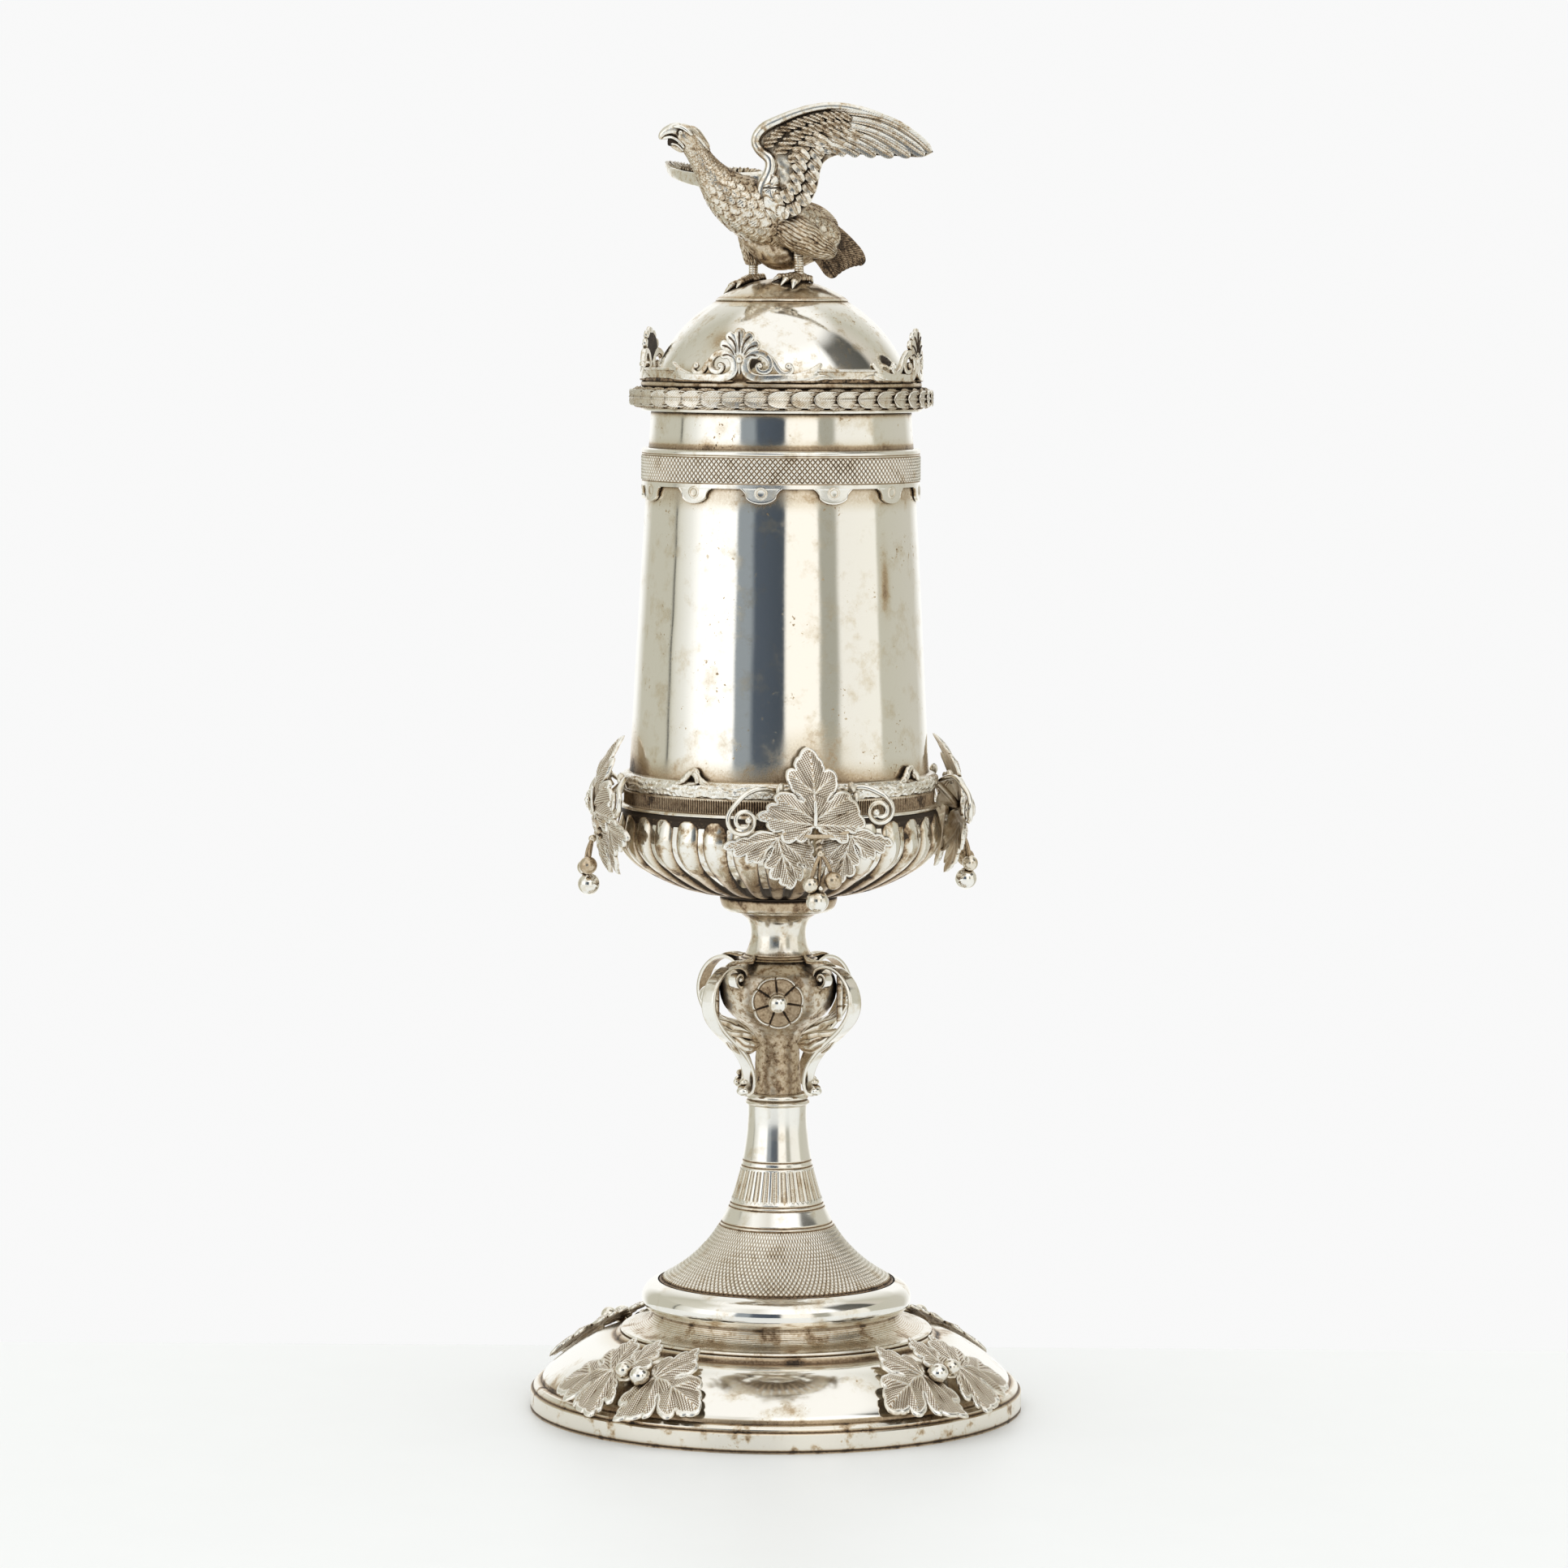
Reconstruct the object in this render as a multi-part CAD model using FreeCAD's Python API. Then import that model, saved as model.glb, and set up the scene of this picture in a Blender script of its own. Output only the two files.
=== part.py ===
"""Covered silver presentation cup: a lift-off lid with an eagle, a tall cup, a knopped stem and a domed foot.

Millimetres, +Z up. The origin is the centre of the foot's resting ring. The front is -Y, and an
azimuth is the angle about +Z from the front, so that +90 degrees is the +X side.
"""

import FreeCAD
import Part
import math
import os

from FreeCAD import Vector

# ---- driving dimensions ------------------------------------------------------------------

FOOT_R = 76.5           # widest radius, at the foot's base band
LEDGE_Z = 8.3           # top of the base band, where the foot dome sits
DOME_TOP_Z = 24.0       # top of the foot dome, where the scotia ring sits
SCOTIA_TOP_Z = 30.8
TORUS_TOP_Z = 39.9
STEM_TOP_Z = 94.8
RING_TOP_Z = 98.6
KNOP_TOP_Z = 140.4
NECK_TOP_Z = 155.0
SAUCER_TOP_Z = 160.0
BOWL_Z = 160.6          # underside of the bowl
BOWL_TOP_Z = 187.8
REED_TOP_Z = 193.6
BRANCH_TOP_Z = 198.8
RIM_Z = 309.6           # mouth of the cup, where the lid's flange rests
FLANGE_TOP_Z = 311.0
WREATH_TOP_Z = 316.6
WIRE_TOP_Z = 319.0
CAP_EDGE_Z = 343.3
CAP_TOP_Z = 350.2
CAP_R = 20.2
CAP_SAG = CAP_TOP_Z - CAP_EDGE_Z - 0.5
CAP_BALL_R = (CAP_R ** 2 + CAP_SAG ** 2) / (2 * CAP_SAG)
PIN_R = 1.0             # pins under the eagle's feet
PIN_PLACES = ((5.4, -5.6), (-8.8, 2.6))

SHEET = 1.2             # wall of the spun shells
CUP_SHEET = 1.0
FIT = 0.05              # gap left between a ring and the wall that it goes round
MOUTH_R = 40.05         # outside of the cup at its mouth
CONE_FOOT_R = 46.75     # outside of the cup where it enters the bowl
COLLAR_R = 42.85
LID_R = 41.0            # outside radius of the spherical lid
LID_CENTRE_Z = 307.5
ROD_R = 2.0             # tie rod that clamps bowl, stem and foot together
TAB_COUNT = 12
TAB_OFFSET = -8.0       # azimuth of the first collar tab, degrees
CLUSTER_OFFSET = 12.0   # azimuth of the cup's front vine cluster
BRACKET_OFFSET = 48.0   # azimuth of the first scroll bracket
FOOT_VINE_OFFSET = 49.5
PALMETTE_OFFSET = -17.0
SIDES = ("front", "right", "back", "left")

Z_AXIS = Vector(0, 0, 1)
CENTRE = Vector(0, 0, 0)


# ---- helpers -----------------------------------------------------------------------------

def spline(points):
    """Edge of a smooth curve through (r, z) points of the XZ half plane, or a line through two."""
    places = [Vector(r, 0, z) for r, z in points]
    if len(places) == 2:
        return Part.makeLine(places[0], places[1])
    curve = Part.BSplineCurve()
    curve.interpolate(places)
    return curve.toShape()


def turned(*runs):
    """Solid turned about Z from a closed section. Each run is a list of (r, z) points along one
    smooth stretch, and the runs are joined end to end by straight lines."""
    edges = []
    for index, run in enumerate(runs):
        if len(run) > 1:
            edges.append(spline(run))
        after = runs[(index + 1) % len(runs)][0]
        if math.dist(run[-1], after) > 1e-6:
            edges.append(spline([run[-1], after]))
    face = Part.Face(Part.Wire(edges))
    return face.revolve(CENTRE, Z_AXIS, 360)


def cornered(points):
    """Solid turned about Z from a section with straight sides."""
    return turned(*[[p] for p in points])


def inner_line(points, wall):
    """The (r, z) points of a shell's inner face: moved in by the wall's thickness, at right angles
    to the line, and the two ends straight in, so that the shell's seats stay flat."""
    moved = []
    for index, (r, z) in enumerate(points):
        if index in (0, len(points) - 1):
            moved.append((r - wall, z))
            continue
        r0, z0 = points[index - 1]
        r1, z1 = points[index + 1]
        size = math.hypot(r1 - r0, z1 - z0)
        moved.append((r - wall * (z1 - z0) / size, z + wall * (r1 - r0) / size))
    return moved


def spun(points, wall=SHEET):
    """Thin turned shell whose outside follows the points from its foot to its top."""
    return turned(points, inner_line(points, wall)[::-1])


def disc(radius, low, high, at=(0.0, 0.0)):
    return Part.makeCylinder(radius, high - low, Vector(at[0], at[1], low))


def hexagon(across, low, high, at=(0.0, 0.0)):
    """Six-sided nut blank, its size given across the flats."""
    corner = across / math.sqrt(3)
    points = [Vector(at[0] + corner * math.cos(math.radians(60 * k)),
                     at[1] + corner * math.sin(math.radians(60 * k)), low) for k in range(7)]
    return Part.Face(Part.makePolygon(points)).extrude(Vector(0, 0, high - low))


def about_z(shape, azimuth):
    """Copy turned from the front to an azimuth. Positive goes from the front towards +X."""
    copy = shape.copy()
    copy.rotate(CENTRE, Z_AXIS, azimuth)
    return copy


def ball(radius, x, y, z):
    return Part.makeSphere(radius, Vector(x, y, z))


def rod(start, end, radius):
    start, end = Vector(*start), Vector(*end)
    return Part.makeCylinder(radius, (end - start).Length, start, end - start)


def lobed_plate(outline, thickness):
    """Flat leaf in the XZ plane, its stalk end at the origin and its tip up, thickness towards +Y.
    The outline is (angle from the tip, radius) for one half, and the other half mirrors it."""
    half = [(a, r) for a, r in outline]
    other = [(-a, r) for a, r in outline[1:-1]]
    points = [Vector(r * math.sin(math.radians(a)), 0, r * math.cos(math.radians(a)))
              for a, r in half + other[::-1]]
    curve = Part.BSplineCurve()
    curve.interpolate(points, PeriodicFlag=True)
    return Part.Face(Part.Wire(curve.toShape())).extrude(Vector(0, thickness, 0))


def placed_leaf(outline, thickness, turn, lean, place):
    """Leaf turned about its own stalk in its plane, leaned back from upright, and moved to its place."""
    leaf = lobed_plate(outline, thickness)
    leaf.rotate(CENTRE, Vector(0, 1, 0), turn)
    leaf.rotate(CENTRE, Vector(1, 0, 0), -lean)
    leaf.translate(Vector(*place))
    return leaf


def strap(path, thickness, width):
    """Flat bar of a scroll: a smooth centre line in the XZ plane, given a thickness and a width."""
    sides = []
    for hand in (-1, 1):
        moved = []
        for index, (r, z) in enumerate(path):
            r0, z0 = path[max(index - 1, 0)]
            r1, z1 = path[min(index + 1, len(path) - 1)]
            size = math.hypot(r1 - r0, z1 - z0)
            shift = hand * thickness / 2 / size
            moved.append((r - shift * (z1 - z0), z + shift * (r1 - r0)))
        sides.append(moved)
    left, right = spline(sides[0]), spline(sides[1])
    ends = [spline([sides[0][-1], sides[1][-1]]), spline([sides[1][0], sides[0][0]])]
    face = Part.Face(Part.Wire([left, ends[0], right, ends[1]]))
    face.translate(Vector(0, -width / 2, 0))
    return face.extrude(Vector(0, width, 0))


def lofted(sections):
    """Smooth body through circles: each section is (centre, direction, radius)."""
    wires = [Part.Wire(Part.makeCircle(radius, Vector(*centre), Vector(*direction)))
             for centre, direction, radius in sections]
    return Part.makeLoft(wires, True, False)


def joined(first, *others):
    return first.multiFuse(list(others)).removeSplitter()


def without(shape, *tools):
    for tool in tools:
        shape = shape.cut(tool)
    return shape


def largest(shape):
    return max(shape.Solids, key=lambda solid: solid.Volume)


# ---- foot --------------------------------------------------------------------------------

def base_band():
    wall = SHEET + 0.3
    outside = [(FOOT_R - wall, 0), (FOOT_R, 0), (FOOT_R, 5.7), (FOOT_R - 0.4, 6.2), (FOOT_R - 0.9, 6.3)]
    step = [(FOOT_R - 1.1, 7.2), (FOOT_R - 1.9, 8.0), (FOOT_R - 3.3, LEDGE_Z), (FOOT_R - 4.4, LEDGE_Z)]
    inside = [(FOOT_R - 4.4, LEDGE_Z - 1.2), (FOOT_R - 2.6, 6.8), (FOOT_R - wall, 5.6)]
    return cornered(outside + step + inside)


FOOT_DOME = [(72.9, LEDGE_Z), (72.5, 9.8), (71.0, 12.2), (67.6, 15.2), (62.4, 18.2), (56.6, 20.6), (51.0, 22.2)]


def foot_dome():
    lip = [(50.2, 22.4), (49.9, 23.3), (49.0, DOME_TOP_Z), (45.2, DOME_TOP_Z), (45.2, DOME_TOP_Z - SHEET)]
    inside = inner_line(FOOT_DOME, SHEET)[::-1]
    return turned(FOOT_DOME, *[[p] for p in lip], [(48.9, 21.6)] + inside[1:])


SCOTIA = [(46.6, 25.2), (43.6, 25.8), (40.6, 27.2), (38.9, 29.2), (38.7, SCOTIA_TOP_Z)]


def foot_scotia():
    bead = [(45.4, DOME_TOP_Z), (48.2, DOME_TOP_Z), (48.5, 24.6), (48.0, 25.1)]
    return turned(*[[p] for p in bead], SCOTIA, inner_line(SCOTIA, SHEET)[::-1])


TORUS = [(39.4, SCOTIA_TOP_Z), (41.2, 32.2), (41.9, 34.5), (41.3, 36.9), (39.4, 38.9), (36.9, TORUS_TOP_Z)]


def foot_torus():
    return spun(TORUS)


# ---- stem --------------------------------------------------------------------------------

TRUMPET = [(36.7, TORUS_TOP_Z), (31.1, 43.2), (24.6, 48.6), (20.0, 53.9), (16.85, 59.1), (14.55, 64.2),
           (12.9, 69.3), (11.5, 74.4), (10.35, 79.5), (9.6, 84.6), (9.15, 89.7), (9.1, STEM_TOP_Z)]


def trumpet_stem():
    return spun(TRUMPET)


def stem_ring():
    outside = [(9.3, STEM_TOP_Z), (9.6, 95.6), (9.1, 96.3), (9.5, 97.2), (9.1, 98.2)]
    return turned([(ROD_R + 0.3, STEM_TOP_Z)], outside, [(7.6, RING_TOP_Z)], [(ROD_R + 0.3, RING_TOP_Z)])


KNOP = [(7.6, RING_TOP_Z), (7.2, 101.5), (7.0, 106.0), (6.8, 110.0), (6.7, 113.0), (7.2, 116.0), (9.0, 118.6),
        (11.8, 120.7), (14.4, 122.9), (16.8, 126.0), (18.1, 129.9), (17.9, 133.5), (16.0, 136.7), (13.0, 138.7),
        (11.2, KNOP_TOP_Z)]


def knop_urn():
    return turned([(ROD_R + 0.3, RING_TOP_Z)], KNOP, [(ROD_R + 0.3, KNOP_TOP_Z)])


NECK = [(11.2, KNOP_TOP_Z), (9.9, 142.0), (8.9, 144.4), (8.55, 147.6), (8.9, 150.6), (10.2, 153.2), (13.0, NECK_TOP_Z)]


def stem_neck():
    return turned([(ROD_R + 0.3, KNOP_TOP_Z)], NECK, [(ROD_R + 0.3, NECK_TOP_Z)])


def stem_saucer():
    outside = [(14.6, NECK_TOP_Z), (16.6, 155.9), (17.7, 157.6), (17.9, SAUCER_TOP_Z)]
    return turned([(ROD_R + 0.3, NECK_TOP_Z)], outside, [(ROD_R + 0.3, SAUCER_TOP_Z)])


def seat_plate():
    return disc(19.0, SAUCER_TOP_Z, BOWL_Z).cut(disc(ROD_R + 0.3, SAUCER_TOP_Z, BOWL_Z))


BRACKET_RUN = [(18.6, 138.6), (24.0, 138.9), (28.4, 136.2), (31.2, 131.6), (31.4, 127.0), (29.3, 122.8), (25.4, 118.9),
               (20.6, 115.2), (16.5, 111.4), (13.7, 107.3), (12.6, 103.6), (13.0, 100.9)]
VOLUTE_R = 3.7
VOLUTE_AT = (18.6, 135.2)


def volute_disc(radius, width, drop):
    """Short cylinder across the head of a bracket's volute."""
    start = Vector(VOLUTE_AT[0], -width / 2, VOLUTE_AT[1] + drop)
    return Part.makeCylinder(radius, width, start, Vector(0, 1, 0))


def scroll_bracket(azimuth):
    """Strap handle of the knop: a volute at its head, an acanthus leaf inside and a ball at its foot."""
    band = strap(BRACKET_RUN, 1.3, 5.2)
    curl = volute_disc(VOLUTE_R, 4.4, 0.0).cut(volute_disc(VOLUTE_R - 1.4, 4.4, 0.0))
    eye = volute_disc(1.4, 4.0, -1.5)
    leaf = strap([(24.8, 119.2), (19.0, 118.6), (13.5, 117.2), (9.0, 115.2)], 1.8, 4.8)
    foot = ball(1.5, 15.0, 0, 100.4)
    whole = joined(band, curl, eye, leaf, foot)
    whole = without(whole, knop_urn(), disc(60, 90, RING_TOP_Z))
    return about_z(whole, azimuth - 90)


ROSETTE_R = 8.2
ROSETTE_Z = 128.8


def rosette(azimuth):
    """Seven-petalled flower plate on the knop's belly."""
    points = []
    for k in range(56):
        angle = 2 * math.pi * k / 56
        radius = ROSETTE_R * (0.93 + 0.07 * abs(math.cos(3.5 * angle)))
        points.append(Vector(radius * math.cos(angle), -19.9, ROSETTE_Z + radius * math.sin(angle)))
    plate = Part.Face(Part.makePolygon(points + points[:1])).extrude(Vector(0, 1.4, 0))
    plate = plate.cut(rod((0, -20, ROSETTE_Z), (0, -18, ROSETTE_Z), 0.9))
    return about_z(plate, azimuth)


def rosette_studs():
    """Ball-headed pins that hold the four rosettes."""
    head = ball(2.7, 0, -21.4, ROSETTE_Z).cut(Part.makeBox(10, 10, 10, Vector(-5, -19.9, ROSETTE_Z - 5)))
    pin = joined(head, rod((0, -20.5, ROSETTE_Z), (0, -16.0, ROSETTE_Z), 0.85))
    return Part.makeCompound([about_z(pin, 90 * k) for k in range(4)])


# ---- cup ---------------------------------------------------------------------------------

BOWL = [(18.2, BOWL_Z), (23.4, 161.1), (28.6, 162.2), (33.6, 163.9), (38.6, 166.3), (43.6, 169.2), (47.6, 172.6),
        (49.9, 176.8), (50.3, 180.6), (49.6, 184.4), (48.6, BOWL_TOP_Z)]


def gadroon_bowl():
    """Lower half of the cup, closed below but for the tie rod's hole."""
    inside = inner_line(BOWL, SHEET)
    return turned([(ROD_R + 0.3, BOWL_Z)], BOWL, inside[:0:-1], [(16.6, BOWL_Z + SHEET)],
                  [(ROD_R + 0.3, BOWL_Z + SHEET)])


def cone_r(z):
    """Outside radius of the tapered cup: a straight taper with a slight swell."""
    up = (z - BOWL_TOP_Z) / (RIM_Z - BOWL_TOP_Z)
    return CONE_FOOT_R + (MOUTH_R - CONE_FOOT_R) * up + 0.22 * math.sin(math.pi * up)


def cup_wall():
    heights = [BOWL_TOP_Z + (RIM_Z - BOWL_TOP_Z) * k / 8 for k in range(9)]
    return spun([(cone_r(z), z) for z in heights], CUP_SHEET)


def ring_round_cup(outside, low, high):
    """Ring that fits round the cup between two heights, its outside made of straight sides."""
    return cornered([(cone_r(low) + FIT, low)] + outside + [(cone_r(high) + FIT, high)])


def reeded_band():
    outside = [(49.2, BOWL_TOP_Z), (49.0, 188.8), (48.2, 189.2), (48.0, 191.0), (48.0, 192.8), (48.2, REED_TOP_Z)]
    return ring_round_cup(outside, BOWL_TOP_Z, REED_TOP_Z)


def vine_branch_ring():
    outside = [(48.4, REED_TOP_Z), (49.2, 194.9), (49.3, 196.2), (48.7, 197.7), (47.2, BRANCH_TOP_Z)]
    return ring_round_cup(outside, REED_TOP_Z, BRANCH_TOP_Z)


def engine_turned_collar():
    """Applied strip below the mouth with twelve hanging tabs, each with a ring and dot."""
    low, high = 286.9, 298.3
    outside = [(COLLAR_R, low), (COLLAR_R, 296.6), (COLLAR_R - 0.1, 297.6), (COLLAR_R - 0.6, high)]
    strip = ring_round_cup(outside, low, high)
    apron = turned([(cone_r(282.0) + FIT, 282.0)], [(COLLAR_R - 0.1, 282.0)], [(COLLAR_R - 0.1, low)],
                   [(cone_r(low) + FIT, low)])
    tabs = []
    for k in range(TAB_COUNT):
        mark = [(-7.0, low), (-5.4, 285.6), (-3.6, 283.4), (0.0, 282.3), (3.6, 283.4), (5.4, 285.6), (7.0, low)]
        points = [Vector(x, -60, z) for x, z in mark]
        prism = Part.Face(Part.makePolygon(points + points[:1])).extrude(Vector(0, 60, 0))
        tabs.append(apron.common(about_z(prism, TAB_OFFSET + 360 / TAB_COUNT * k)))
    return joined(strip, *tabs)


# (angle from the tip in degrees, radius) of half a vine leaf
MAIN_LEAF = [(0, 23.6), (24, 14.5), (46, 12.4), (68, 15.6), (88, 17.4), (110, 10.6), (140, 12.2), (160, 7.6), (180, 4.6)]
LOWER_LEAF = [(0, 17.4), (24, 13.0), (50, 11.6), (74, 14.0), (104, 7.4), (140, 5.2), (180, 3.4)]
FOOT_LEAF = [(0, 22.0), (26, 14.5), (50, 12.6), (78, 16.4), (106, 9.6), (140, 8.6), (180, 3.6)]
BACK_LEAF = [(0, 16.0), (30, 8.0), (60, 6.5), (100, 6.0), (140, 4.5), (180, 3.4)]
LEAF_SHEET = 1.1


def vine_leaves(azimuth):
    """A large vine leaf standing off the cup, two smaller ones hanging below it, and their stalk."""
    main = placed_leaf(MAIN_LEAF, LEAF_SHEET, 0, 22, (-1.0, -57.6, 187.0))
    left = placed_leaf(LOWER_LEAF, LEAF_SHEET, 162, -3, (-12.2, -55.6, 184.5))
    right = placed_leaf(LOWER_LEAF, LEAF_SHEET, -174, -3, (10.6, -55.6, 184.5))
    stalk = rod((-1.0, -47.6, 196.0), (-1.0, -57.0, 187.0), 1.1)
    spur = rod((-12.2, -55.6, 184.5), (10.6, -55.6, 184.5), 1.0)
    link = rod((-1.0, -57.0, 187.0), (-1.0, -55.6, 184.5), 1.1)
    whole = joined(main, left, right, stalk, spur, link)
    whole = whole.cut(disc(49.35, 150, 200))
    return about_z(whole, azimuth)


def vine_tendrils():
    """Two coiled wires beside each cup cluster, springing from the branch ring."""
    wires = []
    for k in range(4):
        for x, z in ((-22.4, 188.2), (19.4, 190.6)):
            coil = Part.makeTorus(3.7, 0.7, Vector(x, -53.0, z), Vector(x, -53.0, 0))
            back = rod((x * 0.86, -45.9, 196.2), (x, -53.0, z + 3.7), 0.7)
            wires.append(about_z(joined(coil, back), CLUSTER_OFFSET + 90 * k))
    return Part.makeCompound(wires)


CUP_BERRIES = [(-2.9, -60.3, 169.3, 2.45), (3.8, -60.5, 170.5, 2.75), (-0.7, -59.5, 164.3, 3.4)]


def vine_berries(azimuth):
    """Three polished berries that hang below a cup cluster on short stalks."""
    stalks = [rod((x, y, z), (0, -59.0, 178.6), 0.6) for x, y, z, _ in CUP_BERRIES]
    balls = [ball(radius, x, y, z) for x, y, z, radius in CUP_BERRIES]
    knot = ball(1.3, 0, -59.0, 178.6)
    return about_z(largest(joined(knot, *balls, *stalks).cut(vine_leaves(0))), azimuth)


def foot_leaves(azimuth):
    """Three vine leaves spread on the foot's dome, on a stalk that touches the dome."""
    right = placed_leaf(FOOT_LEAF, LEAF_SHEET, 98, 60, (7.6, -65.6, 19.4))
    left = placed_leaf(FOOT_LEAF, LEAF_SHEET, -98, 60, (-7.6, -65.6, 19.4))
    back = placed_leaf(BACK_LEAF, LEAF_SHEET, 0, 66, (0.0, -66.0, 20.6))
    spur = rod((-7.6, -65.6, 19.4), (7.6, -65.6, 19.4), 1.2)
    stalk = rod((0, -63.0, 14.5), (0, -65.8, 20.0), 1.8)
    whole = joined(right, left, back, spur, stalk)
    whole = without(whole, solid_foot())
    return about_z(whole, azimuth)


def solid_foot():
    """Everything inside the outline of the lower foot, to trim what is laid on it."""
    return turned([(0, 0)], [(FOOT_R, 0)], [(FOOT_R, 6.2)], [(74.6, 8.0)], FOOT_DOME, [(50.2, 22.4)],
                  [(49.0, DOME_TOP_Z)], [(48.6, 25.2)], SCOTIA, TORUS, [(0, TORUS_TOP_Z)])


FOOT_BERRIES = [(5.0, -69.4, 19.8, 3.0), (-1.8, -69.0, 19.9, 2.6)]


def foot_berries():
    """A pair of polished berries on each foot cluster, mirrored on every other one."""
    pairs = []
    for mirror in (-1, 1):
        places = [(mirror * x, y, z, radius) for x, y, z, radius in FOOT_BERRIES]
        balls = [ball(radius, x, y, z) for x, y, z, radius in places]
        stalk = rod(places[0][:3], places[1][:3], 0.7)
        pairs.append(without(joined(*balls, stalk), foot_leaves(0)))
    return Part.makeCompound([about_z(pairs[k % 2], FOOT_VINE_OFFSET + 90 * k) for k in range(4)])


# ---- tie rod -----------------------------------------------------------------------------

def tie_rod():
    return disc(ROD_R, 50.0, 164.4)


def rod_cap_nut():
    """Domed nut on the floor of the bowl, the only part of the tie rod that shows inside the cup."""
    low = BOWL_Z + SHEET
    blank = turned([(0, low)], [(5.0, low)], [(5.0, low + 1.4)], [(4.2, low + 2.9)], [(2.0, low + 3.9)],
                   [(0, low + 4.0)])
    return blank.cut(tie_rod())


def tie_washer():
    """Cone-edged plate that the nut draws up into the stem's throat."""
    blank = disc(18.0, 57.0, 59.0).cut(disc(ROD_R + 0.2, 57.0, 59.0))
    pieces = blank.cut(trumpet_stem()).Solids
    return min(pieces, key=lambda solid: solid.BoundBox.XLength)


def tie_nut():
    return hexagon(7.0, 53.4, 56.95).cut(tie_rod())


# ---- lid ---------------------------------------------------------------------------------

def lid_dome():
    """Half ball of thin sheet, open below."""
    outer = Part.makeSphere(LID_R, Vector(0, 0, LID_CENTRE_Z))
    inner = Part.makeSphere(LID_R - CUP_SHEET, Vector(0, 0, LID_CENTRE_Z))
    shell = outer.cut(inner).common(disc(60, FLANGE_TOP_Z, 400))
    return without(shell, *[disc(PIN_R + FIT, 330, 360, at) for at in PIN_PLACES])


def cap_blank():
    """The cap plate and all that lies under it, down to the height of its edge."""
    ball_under = Part.makeSphere(CAP_BALL_R, Vector(0, 0, CAP_TOP_Z - CAP_BALL_R))
    return ball_under.common(disc(CAP_R, CAP_EDGE_Z - 2, CAP_TOP_Z + 1))


def cap_plate():
    """Shallow domed plate that the eagle stands on, its edge a thin overhanging lip."""
    blank = cap_blank().cut(Part.makeSphere(LID_R + 0.01, Vector(0, 0, LID_CENTRE_Z)))
    return without(blank, *[disc(PIN_R + FIT, 330, 360, at) for at in PIN_PLACES])


def lid_flange():
    """Thin plate that closes the lid's foot and rests on the mouth of the cup."""
    return cornered([(38.0, RIM_Z), (43.0, RIM_Z), (43.2, 310.3), (42.9, FLANGE_TOP_Z), (38.0, FLANGE_TOP_Z)])


def lid_bezel():
    """Sleeve under the flange that centres the lid inside the mouth."""
    return cornered([(37.4, 301.6), (38.0, 301.2), (38.6, 301.6), (38.8, 303.0), (38.8, RIM_Z), (37.6, RIM_Z)])


def lid_wreath():
    """Half-round moulding that carries the leaf wreath."""
    inner = LID_R + FIT
    bulge = [(43.8, 311.3), (45.6, 312.3), (46.3, 313.7), (45.7, 315.4), (43.8, 316.5)]
    return turned([(inner, FLANGE_TOP_Z)], [(42.6, FLANGE_TOP_Z)], bulge, [(43.2, WREATH_TOP_Z)],
                  [(inner, WREATH_TOP_Z)])


WIRE_R = 1.2
WIRE_RING_R = 42.0


def rim_wire():
    return Part.makeTorus(WIRE_RING_R, WIRE_R, Vector(0, 0, WREATH_TOP_Z + WIRE_R), Z_AXIS)


GALLERY_R = 42.6


def crown_gallery():
    """Low band of scroll straps that stands on the rim wire between the palmettes."""
    sleeve = disc(GALLERY_R, WIRE_TOP_Z - 0.2, 323.6).cut(disc(GALLERY_R - 1.1, WIRE_TOP_Z - 0.2, 323.6))
    cuts = []
    for k in range(4):
        for side in (-1, 1):
            azimuth = PALMETTE_OFFSET + 45 + 90 * k + side * 14
            window = Part.makeBox(10, 60, 3, Vector(-5, -60, 321.4))
            cuts.append(about_z(window, azimuth))
    notches = [about_z(Part.makeBox(21, 60, 10, Vector(-10.5, -60, WIRE_TOP_Z - 1)), PALMETTE_OFFSET + 90 * k)
               for k in range(4)]
    return without(sleeve, rim_wire(), *cuts, *notches)


def palmette(azimuth):
    """Anthemion of the crown: a fan of petals on two volutes."""
    plate_y = -GALLERY_R
    fan = [(0, 9.4), (20, 8.9), (42, 8.2), (66, 7.2), (90, 6.2), (130, 3.2), (180, 2.4)]
    fan_plate = lobed_plate(fan, 1.1)
    fan_plate.translate(Vector(0, plate_y, 326.6))
    volutes = []
    for side in (-1, 1):
        centre = Vector(side * 4.6, plate_y, 323.3)
        ring = Part.makeCylinder(3.7, 1.1, centre, Vector(0, 1, 0))
        ring = ring.cut(Part.makeCylinder(2.3, 1.1, centre, Vector(0, 1, 0)))
        eye = Part.makeCylinder(1.2, 1.1, centre + Vector(side * 1.3, 0, -0.3), Vector(0, 1, 0))
        volutes.extend([ring, eye])
    base = Part.makeBox(20.6, 1.1, 1.6, Vector(-10.3, plate_y, WIRE_TOP_Z - 0.25))
    whole = joined(fan_plate, base, *volutes)
    return about_z(whole.cut(rim_wire()), azimuth)


# ---- eagle -------------------------------------------------------------------------------

TARSUS_R = 1.2


def cap_surface_z(x, y):
    """Height of the cap plate's top at a place."""
    return CAP_TOP_Z - CAP_BALL_R + math.sqrt(CAP_BALL_R ** 2 - x * x - y * y)


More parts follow.
